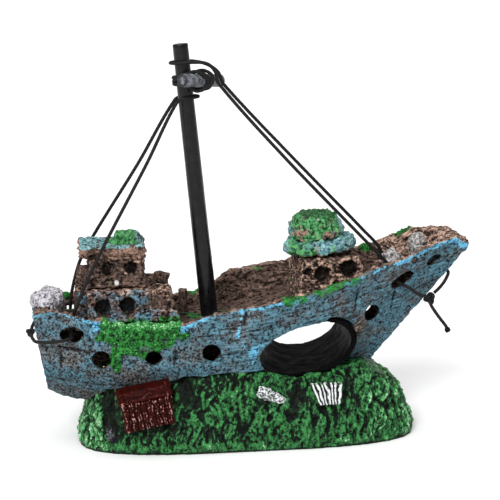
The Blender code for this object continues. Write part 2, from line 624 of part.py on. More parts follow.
def lashing_route():
    """One turn of a square lashing: over the yard on each side of the mast, behind the mast above and below."""
    touch, spar, fore, up = yard_frame()
    axis = mast_point(YARD_HEIGHT)
    off = (touch - axis).length / MM
    wide, high, behind, before = 3.3, 2.85, -3.2, off + 2.85
    half = [(behind, 0, high), (-1.7, 2.7, high), (off - 0.5, wide, high), (off + 2.1, wide, 2.1),
            (before, wide, 0), (off + 2.1, wide, -2.1), (off - 0.5, wide, -high), (-1.7, 2.7, -high),
            (behind, 0, -high)]
    turn = half + [(n, -a, -m) for n, a, m in half[1:-1]]
    return [axis + (fore * n + spar * a + up * m) * MM for n, a, m in turn]


# Routes of the two stays, in millimetres. Each is one cord with its middle round the mast.
AFT_HALF = [(-13.5, 0, 99.2), (-17.2, 3.6, 98.9), (-19.9, 2.6, 98.0), (-30.4, 5.2, 79.7), (-43.0, 9.3, 58.9),
            (-47.4, 9.8, 50.9), (-50.0, 9.4, 42.0), (-50.6, 9.0, 37.2), (-50.8, 9.8, 34.0), (-51.2, 13.4, 33.7),
            (-54.4, 15.1, 33.4), (-60.0, 13.0, 32.8), (-61.7, 7.0, 32.4), (-62.0, 2.0, 32.3)]
AFT_HALF_NEAR = [(-17.2, -3.6, 98.9), (-19.7, -2.8, 98.0), (-28.7, -6.2, 81.3), (-38.9, -10.8, 63.6),
                 (-44.3, -11.5, 53.4), (-48.6, -11.2, 43.6), (-50.6, -9.2, 37.4), (-50.8, -9.8, 34.0),
                 (-51.2, -13.4, 33.7), (-54.4, -15.1, 33.4), (-60.0, -13.0, 32.8), (-61.7, -7.0, 32.4),
                 (-62.0, -2.0, 32.3)]
AFT_KNOT = (-62.3, 0, 32.3)
FORE_NEAR = [(-21.3, 0, 108.6), (-19.6, -2.8, 108.7), (-16.0, -3.7, 109.0), (-11.4, -3.8, 108.6),
             (-9.0, -3.6, 106.2), (-8.1, -3.0, 103.0), (10.3, -3.2, 82.2), (33.4, -4.0, 58.1),
             (40.4, -4.5, 50.9), (42.2, -5.0, 48.2), (42.6, -5.6, 46.2), (44.0, -8.4, 45.0),
             (45.6, -10.7, 44.5), (49.6, -8.5, 41.6), (52.3, -5.1, 40.3)]
FORE_FAR = [(-19.6, 2.8, 108.7), (-16.0, 3.4, 108.9), (-11.4, 2.0, 108.2), (-7.9, 0.6, 106.0),
            (-6.2, 0.3, 102.4), (14.2, 2.4, 80.6), (35.4, 3.9, 58.7), (40.4, 4.5, 53.2),
            (42.0, 4.9, 48.6), (42.6, 5.4, 46.2), (44.0, 8.4, 45.0), (45.8, 11.0, 45.6),
            (52.0, 8.7, 46.2), (58.2, 4.4, 46.5), (60.4, 0.6, 46.3), (59.2, -2.0, 44.6),
            (57.0, -3.5, 42.4), (55.2, -3.9, 40.9)]
FORE_KNOT = (53.8, -4.2, 39.3)
TAIL = [(54.2, -4.5, 37.4), (55.3, -4.6, 35.6), (57.1, -4.7, 33.1), (58.8, -4.7, 30.9)]
TAIL_KNOT = (59.3, -4.7, 29.8)


def build_rigging(black):
    aft = AFT_HALF_NEAR[::-1] + AFT_HALF
    fore = FORE_NEAR[::-1] + FORE_FAR
    cord("aft_stay", [mm(*p) for p in aft], black)
    cord("fore_stay", [mm(*p) for p in fore], black)
    lashing = cord("masthead_lashing", lashing_route(), black, closed=True, step=1.5)
    pivot_at(lashing, mast_point(YARD_HEIGHT))
    cord("cord_tail", [mm(*p) for p in TAIL], black)
    add("aft_knot", lump(mm(*AFT_KNOT), mm(1.1, 1.1, 1.1)), black)
    add("fore_knot", lump(mm(*FORE_KNOT), mm(1.4, 1.2, 1.4)), black)
    add("tail_knot", lump(mm(*TAIL_KNOT), mm(0.8, 0.8, 0.8)), black)


def main():
    for old in list(bpy.data.objects):
        bpy.data.objects.remove(old)
    hull_paint = material("hull_paint", (0.10, 0.30, 0.38), 0.75)
    rock = material("mossy_rock", (0.04, 0.16, 0.06), 0.6)
    black = material("tunnel_black", (0.012, 0.012, 0.013), 0.5)
    timber = material("weathered_timber", (0.23, 0.15, 0.10), 0.85)
    moss = material("moss", (0.05, 0.22, 0.07), 0.6)
    teal = material("teal_roof", (0.16, 0.42, 0.42), 0.75)
    grey = material("grey_rock", (0.45, 0.45, 0.46), 0.8)
    silver = material("silvered_rock", (0.5, 0.48, 0.46), 0.4)
    chest_wood = material("chest_red", (0.16, 0.02, 0.012), 0.35)
    shell_white = material("shell_white", (0.75, 0.76, 0.76), 0.5)
    stone = material("air_stone_grey", (0.35, 0.38, 0.42), 0.95)
    plastic = material("white_plastic", (0.7, 0.7, 0.68), 0.4)
    rubber = material("black_rubber", (0.02, 0.02, 0.02), 0.7)
    hose = material("clear_hose", (0.75, 0.78, 0.78), 0.2)
    mast_black = material("mast_black", (0.012, 0.012, 0.014), 0.35)
    yard_grey = material("yard_grey", (0.16, 0.17, 0.19), 0.45)
    cord_black = material("black_cord", (0.02, 0.02, 0.022), 0.6)

    cutters = {
        "hold": add("cut_hold", hold_body()),
        "hold_fit": add("fit_hold", hold_body(GAP)),
        "mound": add("cut_mound", mound_body(SEAT_GAP)),
        "deck_space": add("cut_deck_space", deck_prism(SEAT_GAP, 8 * MM)),
        "hull_space": add("cut_hull_space", hull_body(inset=-SEAT_GAP)),
        "hull_skin": add("cut_hull_skin", hull_body(inset=-GAP, rise=GAP)),
        "tunnel_seat": add("cut_tunnel_seat", tunnel_prism(TUNNEL_WALL + GAP, TUNNEL_HALF_DEPTH + GAP)),
        "tunnel_bore": add("cut_tunnel_bore", tunnel_prism(0.0, 40 * MM)),
    }
    for cutter in cutters.values():
        helper(cutter)
    combine(cutters["hull_skin"], cutters["hold_fit"])
    build_base(rock, cutters)
    build_hull(hull_paint, cutters)
    build_tunnel(black, cutters)
    build_deck(timber, cutters)
    build_stern_cabin(timber, teal, cutters)
    build_bow_cabin(timber, moss, teal)
    build_deck_fittings(timber, grey, silver, cutters)
    build_chest(chest_wood, cutters)
    build_shells(shell_white, cutters)
    build_air_supply(stone, plastic, rubber, hose)
    build_spars(mast_black, yard_grey)
    build_rigging(cord_black)


main()
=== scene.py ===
"""Looks of a sunken sailing-ship aquarium ornament, round its CAD frame. Millimetres inside, metres out."""

import math

import bmesh
import bpy
import numpy as np
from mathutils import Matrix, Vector


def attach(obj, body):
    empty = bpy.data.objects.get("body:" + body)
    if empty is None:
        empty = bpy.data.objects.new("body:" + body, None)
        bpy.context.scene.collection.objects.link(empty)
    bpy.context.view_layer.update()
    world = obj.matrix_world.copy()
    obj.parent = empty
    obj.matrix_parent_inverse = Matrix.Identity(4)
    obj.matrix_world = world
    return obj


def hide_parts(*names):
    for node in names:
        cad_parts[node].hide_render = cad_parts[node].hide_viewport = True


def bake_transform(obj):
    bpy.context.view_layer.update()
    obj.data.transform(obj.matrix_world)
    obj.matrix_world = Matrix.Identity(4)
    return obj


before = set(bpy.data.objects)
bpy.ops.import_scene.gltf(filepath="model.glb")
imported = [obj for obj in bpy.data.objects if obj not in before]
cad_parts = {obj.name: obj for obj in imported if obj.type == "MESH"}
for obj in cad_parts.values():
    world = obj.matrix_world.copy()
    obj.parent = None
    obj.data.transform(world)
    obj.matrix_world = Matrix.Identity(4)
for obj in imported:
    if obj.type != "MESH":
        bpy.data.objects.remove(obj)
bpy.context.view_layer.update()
MM = 0.001

# ---- profiles shared with the CAD
STERN_KEEL_X, STERN_RAIL_X, STEM_FOOT_X, STEM_HEAD_X = -57.6, -61.5, 37.0, 66.5
RAIL_NEAR = [(-62, 40), (-58, 42), (-47, 40), (-42, 36.5), (-21, 36.2), (-16, 39.4), (0, 42),
             (13, 44), (27, 48), (40, 52), (60, 57.6), (67, 54.5)]
RAIL_FAR = [(-62, 38.6), (-57, 40), (-47, 40.4), (-38, 38.5), (-22, 38), (-12, 38.6), (-4, 44.6),
            (7, 46.9), (27, 49), (40, 53.4), (52, 58.8), (62, 59.2), (67, 56)]
SHEER = [(-62, 41), (-40, 39.6), (-16, 40.2), (0, 42), (13, 44), (27, 48), (40, 52), (60, 57.6), (67, 59)]
KEEL = [(0.0, 15.2), (0.06, 12.2), (0.2, 11), (0.8, 13), (1.0, 20)]
HALF_BREADTH = [(0.0, 11.5), (0.08, 14), (0.25, 17.3), (0.5, 18.2), (0.65, 17), (0.8, 12.5),
                (0.9, 8), (0.97, 4), (1.0, 1.6)]
VEE = [(0.0, 0.35), (0.15, 0.1), (0.6, 0.0), (0.85, 0.7), (1.0, 1.0)]
TUNNEL_CENTRE, TUNNEL_HALF, TUNNEL_TILT = (17.0, 28.9), (12.5, 7.1), math.radians(12)
TUNNEL_SKEW, TUNNEL_RISE, TUNNEL_NARROWING = 0.12, 0.037, 0.08
MAST_FOOT, MAST_TOP = Vector((-9.75, 0, 26.3)), Vector((-18.5, 0, 113.9))
MAST_FOOT_R, MAST_TOP_R = 2.55, 2.15
YARD_HEIGHT, YARD_R, YARD_HALF_LENGTH = 103.6, 1.85, 8.6
YARD_SWIVEL, YARD_DIP, YARD_SHIFT = math.radians(45), -0.08, 2.2
YARD_CUP_R, YARD_CUP_DEPTH = 1.15, 0.8
# Round openings seen from the side: (x, z, radius)
PORTHOLES = [(-42.6, 27.2, 2.7), (-28.2, 28.0, 2.3), (-12.1, 28.9, 2.5), (35.8, 36.4, 2.6)]
LOWER_WINDOWS = [(-41.9, 41.6, 2.4), (-34.9, 42.0, 2.4)]
UPPER_WINDOWS = [(-40.2, 51.9, 1.9), (-33.7, 52.1, 1.9)]
BOW_WINDOWS = [(16.6, 49.4, 1.2), (20.9, 48.4, 2.4), (28.7, 49.9, 2.7)]
GAP = 0.3
CORD_D, CORD_STRANDS, CORD_LAY, CORD_GROOVE = 1.0, 3, 4.2, 0.05  # the groove is a share of the radius
CORD_STEP = 0.35  # along the cord, between the rings of its mesh
DECK_PLANK, DECK_BUTT = 3.1, 17
CHEST_MIDDLE, SCALLOP_MIDDLE = (-30.7, -17.6, 15.2), (20.6, -17.0, 16.0)


def srgb(*colour):
    return tuple(((c / 255 + 0.055) / 1.055) ** 2.4 if c > 10 else c / 255 / 12.92 for c in colour) + (1,)


def unit(values):
    return np.clip(values, 0, 1)


# ---- noise on arrays of points

def hashed(cell, seed):
    h = (cell @ np.array([374761393, 668265263, 1442695041], np.int64) + seed * 974634777) & 0xFFFFFFFF
    h = ((h ^ (h >> 13)) * 1274126177) & 0xFFFFFFFF
    return h ^ (h >> 16)


def noise(p, size, seed=0):
    """Smooth noise, about -1 to 1. size is a length, or one for each axis."""
    q = p / np.array(size, float)
    base = np.floor(q).astype(np.int64)
    f = q - base
    fade = f * f * f * (f * (f * 6 - 15) + 10)
    total = np.zeros(len(p))
    for corner in np.ndindex(2, 2, 2):
        c = np.array(corner)
        h = hashed(base + c, seed)
        lean = np.stack([h & 1023, (h >> 10) & 1023, (h >> 20) & 1023], -1) / 511.5 - 1
        total += ((f - c) * lean).sum(-1) * np.prod(np.where(c, fade, 1 - fade), -1)
    return total * 1.5


def layered(p, size, seed=0, octaves=3, ridged=False):
    """Octaves of noise; ridged gives sharp crests."""
    size = np.array(size, float)
    total, weight = np.zeros(len(p)), 1.0
    for i in range(octaves):
        n = noise(p, size / 2 ** i, seed + 17 * i)
        total += weight * (1 - 2.4 * np.abs(n) if ridged else n)
        weight *= 0.5
    return total


def step(value, low, high):
    """Smooth rise from 0 at low to 1 at high."""
    x = unit((value - low) / (high - low))
    return x * x * (3 - 2 * x)


def along(points, x):
    """Height of the profile's smooth line at each x, as in the CAD."""
    xs, ys = np.array(points, float).T
    x = np.clip(x, xs[0], xs[-1])
    i = np.clip(np.searchsorted(xs, x) - 1, 0, len(xs) - 2)
    share = (x - xs[i]) / (xs[i + 1] - xs[i])
    share = share * share * (3 - 2 * share) * 0.5 + share * 0.5
    return ys[i] + (ys[i + 1] - ys[i]) * share


def bell(x, centre, width):
    return np.exp(-((x - centre) / width) ** 2)


def spots(x, z, *table):
    """Sum of soft spots, each (weight, x, z, half width, half height)."""
    return sum(weight * bell(x, cx, wx) * bell(z, cz, wz) for weight, cx, cz, wx, wz in table)


# ---- meshes as arrays

class Cast:
    """A mesh with its points, normals and neighbours as arrays, in millimetres."""

    def __init__(self, mesh):
        self.mesh = mesh
        self.count = len(mesh.vertices)
        co = np.empty(self.count * 3, np.float32)
        mesh.vertices.foreach_get("co", co)
        ends = np.empty(len(mesh.edges) * 2, np.int32)
        mesh.edges.foreach_get("vertices", ends)
        self.a, self.b = ends.reshape(-1, 2).T
        self.degree = np.maximum(np.bincount(ends, minlength=self.count), 1)
        self.place(co.reshape(-1, 3).astype(float) / MM)

    def place(self, points):
        self.p = points
        self.mesh.vertices.foreach_set("co", (points * MM).astype(np.float32).ravel())
        self.mesh.update()
        n = np.empty(self.count * 3, np.float32)
        self.mesh.vertex_normals.foreach_get("vector", n)
        self.n = n.reshape(-1, 3).astype(float)

    def average(self, values, times=1):
        """Values blurred over the neighbours."""
        if values.ndim == 2:
            return np.stack([self.average(v, times) for v in values.T], -1)
        for _ in range(times):
            around = (np.bincount(self.a, values[self.b], self.count)
                      + np.bincount(self.b, values[self.a], self.count))
            values = 0.5 * values + 0.5 * around / self.degree
        return values

    def soften(self, times):
        self.place(self.average(self.p, times))

    def push(self, depth):
        self.place(self.p + self.n * depth[:, None])

    def relief(self, times, gain):
        """Above 0 on what stands proud, below 0 in grooves and pits."""
        return np.clip(((self.p - self.average(self.p, times)) * self.n).sum(-1) * gain, -1, 1)

    def made(self, node, suffix, slot, body="ornament", name=None, **masks):
        """A finished piece with the material's masks, named after the CAD node it replaces."""
        mesh = self.mesh
        for key, values in masks.items():
            kind, field = ("FLOAT", "value") if values.ndim == 1 else ("FLOAT_VECTOR", "vector")
            layer = mesh.attributes.new(key, kind, "POINT")
            layer.data.foreach_set(field, values.astype(np.float32).ravel())
        mesh.materials.clear()
        mesh.materials.append(FACES[slot])
        mesh.shade_smooth()
        mesh.name = name or node + "_" + suffix
        made = linked(mesh.name, mesh)
        if body:
            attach(made, body)
        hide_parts(node)
        return made


def linked(name, data):
    made = bpy.data.objects.new(name, data)
    bpy.context.scene.collection.objects.link(made)
    return made


def remeshed(node, voxel):
    """The CAD node's shape on an even grid."""
    bm = bmesh.new()
    bm.from_mesh(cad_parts[node].data)
    bmesh.ops.remove_doubles(bm, verts=bm.verts, dist=1e-6)
    mesh = bpy.data.meshes.new("grid")
    bm.to_mesh(mesh)
    bm.free()
    holder = linked("grid", mesh)
    grid = holder.modifiers.new("grid", "REMESH")
    grid.mode, grid.voxel_size = "VOXEL", voxel * MM
    graph = bpy.context.evaluated_depsgraph_get()
    even = bpy.data.meshes.new_from_object(holder.evaluated_get(graph))
    bpy.data.objects.remove(holder)
    bpy.data.meshes.remove(mesh)
    return Cast(even)


def swept(rings, closed=False):
    """Mesh through equal rings of points; its ends are capped unless it is closed."""
    count, sides = len(rings), len(rings[0])
    points = np.concatenate([np.asarray(r, float) for r in rings])
    faces = []
    for k in range(count if closed else count - 1):
        low, high = k * sides, (k + 1) % count * sides
        faces += [(low + i, low + (i + 1) % sides, high + (i + 1) % sides, high + i) for i in range(sides)]
    if not closed:
        for first, order in ((0, -1), ((count - 1) * sides, 1)):
            faces += [(*(first + i, first + (i + 1) % sides)[::order], len(points)) for i in range(sides)]
            points = np.vstack([points, points[first:first + sides].mean(0)])
    mesh = bpy.data.meshes.new("swept")
    mesh.from_pydata((points * MM).tolist(), [], faces)
    bm = bmesh.new()
    bm.from_mesh(mesh)
    bmesh.ops.recalc_face_normals(bm, faces=bm.faces)
    bm.to_mesh(mesh)
    bm.free()
    return mesh


def smooth_route(points, gap, closed=False):
    """Points a gap apart on the smooth curve that the CAD's cord follows."""
    points = [np.array(p, float) for p in points]
    count, fine = len(points), []
    for i in range(count if closed else count - 1):
        around = range(i - 1, i + 3)
        p0, p1, p2, p3 = (points[k % count if closed else min(max(k, 0), count - 1)] for k in around)
        reach = np.linalg.norm(p2 - p1)
        start = (p2 - p0) / np.linalg.norm(p2 - p0) * reach
        end = (p3 - p1) / np.linalg.norm(p3 - p1) * reach
        t = (np.arange(24) / 24)[:, None]
        fine.append(p1 * (2 * t ** 3 - 3 * t ** 2 + 1) + start * (t ** 3 - 2 * t ** 2 + t)
                    + p2 * (3 * t ** 2 - 2 * t ** 3) + end * (t ** 3 - t ** 2))
    fine = np.vstack(fine + [points[0 if closed else -1][None]])
    run = np.concatenate([[0], np.cumsum(np.linalg.norm(np.diff(fine, axis=0), axis=1))])
    pieces = max(round(run[-1] / gap), 2)
    goals = run[-1] * np.arange(pieces if closed else pieces + 1) / pieces
    return np.stack([np.interp(goals, run, fine[:, k]) for k in range(3)], -1)


def tube(line, radius, sides, closed):
    """Round cord along a line, with the shallow helical lay of its strands."""
    ahead = np.roll(line, -1, 0) - np.roll(line, 1, 0) if closed else np.gradient(line, axis=0)
    ahead /= np.linalg.norm(ahead, axis=1)[:, None]
    side = np.cross(ahead[0], [0.3, 1, 0.2])
    rings, run = [], 0.0
    angle = np.arange(sides) / sides * 2 * math.pi
    for k, (point, way) in enumerate(zip(line, ahead)):
        side = side - way * side.dot(way)
        side /= np.linalg.norm(side)
        up = np.cross(way, side)
        run += np.linalg.norm(line[k] - line[k - 1]) if k else 0
        groove = 1 - np.abs(np.cos(CORD_STRANDS / 2 * (angle - 2 * math.pi * run / CORD_LAY)))
        r = radius * (1 - CORD_GROOVE * groove)
        rings.append(point + side * (r * np.cos(angle))[:, None] + up * (r * np.sin(angle))[:, None])
    return swept(rings, closed)


def turned(base, way, profile, sides):
    """Shape turned round an axis, from (distance along, radius) pairs."""
    side = np.cross(way, [0, 1, 0])
    side /= np.linalg.norm(side)
    up = np.cross(way, side)
    angle = np.arange(sides)[:, None] / sides * 2 * math.pi
    spoke = side * np.cos(angle) + up * np.sin(angle)
    return Cast(swept([np.array(base, float) + way * d + spoke * r for d, r in profile]))


# ---- materials

class Shade:
    """Builds one node material, part by part."""

    def __init__(self, name):
        self.made = bpy.data.materials.new(name)
        self.made.use_nodes = True
        self.tree = self.made.node_tree
        self.shader = self.tree.nodes["Principled BSDF"]
        self.where = self.node("TexCoord").outputs["Object"]

    def node(self, kind, inputs=(), **settings):
        made = self.tree.nodes.new("ShaderNode" + kind)
        for key, value in settings.items():
            setattr(made, key, value)
        for key, value in dict(inputs).items():
            self.join(value, made.inputs[key])
        return made

    def join(self, value, socket):
        if isinstance(value, bpy.types.NodeSocket):
            self.tree.links.new(value, socket)
        else:
            socket.default_value = value

    def attr(self, name, out="Fac"):
        return self.node("Attribute", attribute_name=name).outputs[out]

    def math(self, how, a, b):
        return self.node("Math", {0: a, 1: b}, operation=how).outputs[0]

    def sum(self, *terms):
        """Adds (socket, weight) pairs and plain numbers."""
        total = 0.0
        for term in terms:
            if isinstance(term, tuple):
                total = self.node("Math", {0: term[0], 1: term[1], 2: total},
                                  operation="MULTIPLY_ADD").outputs[0]
            else:
                total = self.math("ADD", total, term)
        return total

    def noise(self, size, detail=2.0, rough=0.55, stretch=None, where=None):
        """Noise about 0.5; size in millimetres, stretch makes it longer along an axis."""
        vector = where or self.where
        if stretch:
            vector = self.node("VectorMath", {0: vector, 1: tuple(1 / s for s in stretch)},
                               operation="MULTIPLY").outputs[0]
        inputs = {"Vector": vector, "Scale": 1 / (size * MM), "Detail": detail, "Roughness": rough}
        return self.node("TexNoise", inputs).outputs["Fac"]

    def span(self, value, low, high, to=(0.0, 1.0)):
        inputs = {"Value": value, "From Min": low, "From Max": high, "To Min": to[0], "To Max": to[1]}
        return self.node("MapRange", inputs, interpolation_type="SMOOTHSTEP").outputs["Result"]

    def mix(self, share, a, b):
        """Colour between a and b, each a socket or (red, green, blue) up to 255."""
        a, b = (srgb(*colour) if isinstance(colour, tuple) else colour for colour in (a, b))
        return self.node("Mix", {0: share, 6: a, 7: b}, data_type="RGBA").outputs[2]

    def blend(self, share, a, b):
        return self.node("Mix", {0: share, 2: a, 3: b}).outputs[0]

    def bump(self, height, depth):
        """Raises the surface by height, up to depth millimetres."""
        inputs = {"Height": height, "Distance": depth * MM, "Strength": 1.0}
        self.join(self.node("Bump", inputs).outputs["Normal"], self.shader.inputs["Normal"])

    def finish(self, colour, rough, gleam=0.5, **plain):
        self.join(colour, self.shader.inputs["Base Color"])
        self.join(rough, self.shader.inputs["Roughness"])
        self.join(gleam, self.shader.inputs["Specular IOR Level"])
        for key, value in plain.items():
            self.join(value, self.shader.inputs[key.replace("_", " ").title().replace("Ior", "IOR")])
        return self.made


def painted(name, ground, coats, pits=0.45, grain=None, bumps=0.22, pit_size=0.8, soft=0.1, **plain):
    """Painted casting: a stained ground, then dry-brushed coats that catch on what stands proud.

    ground is (dark, light, roughness). Each coat is (weights of its masks, bias, dark, light, roughness), and
    it shows where the masks, the noise and the bias add up to over 0.5, fading over soft."""
    s = Shade(name)
    relief = s.attr("relief")
    fine = s.noise(0.6, 3.0, 0.62)
    pit = s.math("MULTIPLY", s.span(s.noise(pit_size, 2.0, 0.5), 0.36, 0.44), s.span(fine, 0.34, 0.44))
    if grain:
        lined = s.noise(0.5, 3.0, 0.6, grain, s.attr("grain", "Vector"))
        fine = s.blend(s.attr("lined"), fine, lined)
    speck = s.noise(0.42, 1.0, 0.5)
    medium = s.noise(1.9, 3.0, 0.6)
    broad = s.noise(7.0, 2.0)
    known = {"relief": relief, "fine": fine, "medium": medium, "speck": speck}
    tone = s.sum((fine, 1.5), (medium, 0.8), (relief, 0.5), -0.65)
    colour = s.mix(s.span(tone, 0.1, 0.9), ground[0], ground[1])
    rough = s.blend(medium, ground[2] - 0.06, ground[2] + 0.06)
    for masks, bias, dark, light, gloss in coats:
        terms = [(known.get(mask) or s.attr(mask), weight) for mask, weight in masks.items()]
        shows = s.sum(*terms, (fine, 1.7), (medium, 0.6), (broad, 0.35), bias - 1.32)
        cover = s.span(shows, 0.5 - soft, 0.5 + soft)
        tint = s.mix(s.span(s.sum((medium, 1.2), (fine, 1.4), (relief, 0.5), -0.8), 0.1, 0.9), dark, light)
        colour = s.mix(cover, colour, tint)
        rough = s.blend(cover, rough, gloss)
    hole = s.span(s.sum((pit, 1.0), (relief, 0.6)), 0.0, 0.75)
    dark = s.mix(hole, (12, 10, 10), colour)
    colour = s.mix(s.attr("chip"), s.mix(pits, colour, dark), (226, 226, 222))
    # Painted shade: the mask darkens the colour toward near black in recesses and under overhangs.
    colour = s.mix(s.attr("gloom"), colour, (14, 11, 10))
    s.bump(s.sum((fine, 1.0), (medium, 0.9), (pit, 0.6)), bumps)
    return s.finish(colour, rough, **plain)


def stone_face(name, dark, light, top, gloss, **plain):
    return painted(
        name, (dark, light, gloss),
        [(dict(relief=0.9, fine=0.5), -0.4, light, top, gloss - 0.08),
         (dict(rust=1.2), -0.4, (96, 48, 30), (190, 120, 84), 0.6)],
        pits=0.5, bumps=0.25, **plain)


def plastic(name, dark, light, gloss, size=3.0, depth=0.02, stretch=(6.0, 1.0, 1.0), **plain):
    """Moulded plastic with fine handling marks."""
    s = Shade(name)
    cloud = s.noise(size, 3.0)
    marks = s.noise(0.5, 3.0, 0.6, stretch)
    colour = s.mix(s.span(s.sum((cloud, 0.8), (marks, 0.5)), 0.4, 0.95), dark, light)
    # Painted shade: the mask darkens the colour toward near black, as in the yard's end cups.
    colour = s.mix(s.attr("gloom"), colour, (12, 12, 13))
    rough = s.span(s.sum((cloud, 0.6), (marks, 0.4)), 0.2, 0.8, (gloss - 0.07, gloss + 0.1))
    s.bump(s.sum((cloud, 1.0), (marks, 0.5)), depth)
    return s.finish(colour, rough, **plain)


def cord_face():
    s = Shade("black_cord")
    strand = s.attr("strand")
    fuzz = s.noise(0.35, 3.0, 0.65)
    tone = s.sum((fuzz, 0.8), (strand, 0.35), -0.1)
    colour = s.mix(s.span(tone, 0.2, 0.8), (7, 7, 8), (38, 37, 37))
    s.bump(s.sum((fuzz, 1.0), (strand, 0.6)), 0.07)
    return s.finish(colour, s.span(fuzz, 0.2, 0.8, (0.5, 0.7)), gleam=0.07)


def tunnel_face():
    s = Shade("tunnel_black")
    relief = s.attr("relief")
    dust = s.noise(3.0, 4.0)
    speck = s.span(s.noise(0.7, 2.0), 0.68, 0.76)
    colour = s.mix(s.span(s.sum((dust, 1.0), (relief, 0.3)), 0.35, 0.9), (3, 3, 3), (13, 13, 14))
    colour = s.mix(s.math("MULTIPLY", speck, 0.25), colour, (90, 88, 88))
    s.bump(s.sum((dust, 1.0), (speck, 0.15)), 0.2)
    return s.finish(colour, s.span(dust, 0.2, 0.8, (0.42, 0.6)), gleam=0.03)


# Material of every slot.
FACES = {
    # Moss and glossy paint over lumpy rock: green on what stands proud, black in the clefts.
    "mossy_rock": painted(
        "rock_moss", ((4, 11, 6), (24, 50, 30), 0.6),
        [(dict(bare=1.1), -0.05, (36, 33, 42), (128, 122, 136), 0.6),
         (dict(moss=1.0, relief=0.7), -0.02, (11, 46, 20), (60, 134, 72), 0.36),
         (dict(pale=1.0, relief=0.9), -0.45, (36, 100, 48), (108, 182, 116), 0.34),
         # Pale flecks on the moss: painted glints of its glossy varnish.
         (dict(moss=0.4, pale=0.35, relief=0.9, speck=2.6), -2.2, (92, 152, 104), (214, 232, 212), 0.3)],
        pits=1.0, grain=(1.0, 1.0, 3.2), bumps=0.4, pit_size=0.9, soft=0.2, gleam=0.14),
    "hull_paint": painted(
        "hull_paint", ((38, 40, 42), (122, 118, 116), 0.78),
        [(dict(blue=0.9, relief=0.4, speck=1.0, fine=-0.8), -0.15, (50, 78, 90), (92, 137, 154), 0.66),
         (dict(cyan=1.5, relief=0.4), -0.72, (60, 134, 172), (116, 190, 222), 0.5),
         (dict(wood=1.2), -0.2, (31, 22, 19), (140, 116, 104), 0.8),
         (dict(peach=1.0, relief=0.7, fine=0.6), -0.85, (140, 110, 94), (206, 172, 154), 0.7),
         (dict(moss=1.25, relief=0.5), -0.2, (12, 54, 22), (46, 134, 54), 0.32),
         # Pale flecks on the moss: painted glints of its gloss.
         (dict(moss=1.0, relief=0.5, speck=2.4), -2.36, (96, 164, 110), (168, 214, 172), 0.3)],
        pits=0.9, grain=(9.0, 1.0, 1.0), bumps=0.3, pit_size=0.7, soft=0.22, gleam=0.12),
    "weathered_timber": painted(
        "weathered_timber", ((30, 23, 21), (118, 97, 87), 0.8),
        [(dict(peach=0.9, relief=0.6, fine=0.4), -0.78, (132, 102, 89), (206, 172, 152), 0.72),
         (dict(blue=1.2, relief=0.3), -0.42, (48, 72, 84), (98, 140, 160), 0.6),
         (dict(moss=1.3), -0.15, (16, 54, 24), (56, 138, 62), 0.38),
         # Pale flecks on the moss: painted glints of its gloss.
         (dict(moss=1.0, relief=0.5, speck=2.4), -2.35, (124, 182, 122), (204, 230, 198), 0.35)],
        pits=0.95, grain=(6.0, 1.0, 1.0), bumps=0.35, soft=0.25, gleam=0.08),
    "teal_roof": painted(
        "teal_roof", ((48, 44, 42), (130, 122, 112), 0.75),
        [(dict(teal=0.9, relief=0.4), -0.1, (74, 122, 130), (140, 186, 190), 0.6),
         (dict(moss=1.2, relief=0.4), -0.2, (22, 84, 40), (96, 170, 108), 0.42),
         (dict(peach=1.3, relief=0.3), -0.3, (66, 50, 44), (160, 130, 114), 0.7)],
        pits=0.55, bumps=0.35, soft=0.2, gleam=0.12),
    "grey_rock": stone_face("grey_rock", (112, 108, 114), (214, 212, 219), (248, 246, 252), 0.62, gleam=0.2),
    "silvered_rock": stone_face("silvered_rock", (58, 53, 52), (186, 182, 180), (250, 248, 246), 0.22,
                                coat_weight=0.5, coat_roughness=0.1),
    "chest_red": painted(
        "chest_red", ((20, 2, 1), (62, 9, 4), 0.3),
        [(dict(stave=0.9, relief=0.5, fine=1.0), -1.14, (96, 54, 48), (190, 156, 148), 0.3),
         (dict(strap=0.7, relief=0.6, fine=0.8), -1.15, (110, 44, 34), (204, 156, 146), 0.28)],
        pits=0.5, bumps=0.12, soft=0.2, gleam=0.05, coat_weight=0.03, coat_roughness=0.06),
    "shell_white": painted(
        "shell_white", ((22, 25, 24), (140, 146, 144), 0.5),
        [(dict(relief=1.1, fine=0.4), 0.2, (168, 176, 174), (232, 236, 236), 0.4),
         (dict(moss=1.2), -0.35, (20, 52, 28), (60, 120, 64), 0.4)],
        pits=0.8, bumps=0.12, gleam=0.3),
    "tunnel_black": tunnel_face(),
    "black_cord": cord_face(),
    # Lighter lengthwise streaks on the mast: scratches, and in part painted sheen of its gloss.
    "mast_black": plastic("mast_black", (3, 3, 4), (26, 26, 28), 0.24, depth=0.07,
                          stretch=(1.0, 1.0, 7.0), gleam=0.24),
    "yard_grey": plastic("yard_grey", (14, 16, 19), (150, 154, 160), 0.36, size=1.3, depth=0.06, gleam=0.2),
    "white_plastic": plastic("white_plastic", (206, 206, 200), (236, 236, 230), 0.35),
    "black_rubber": plastic("black_rubber", (18, 18, 18), (40, 40, 40), 0.62),
    "clear_hose": plastic("clear_hose", (196, 206, 204), (228, 234, 232), 0.14, transmission_weight=0.6, ior=1.45),
    "air_stone_grey": painted(
        "air_stone_grit", ((60, 66, 74), (132, 140, 150), 0.92),
        [(dict(relief=1.0), -0.3, (120, 130, 140), (176, 184, 190), 0.9)], pits=0.7, bumps=0.3),
}
FACES["moss"] = FACES["teal_roof"]


# ---- camera

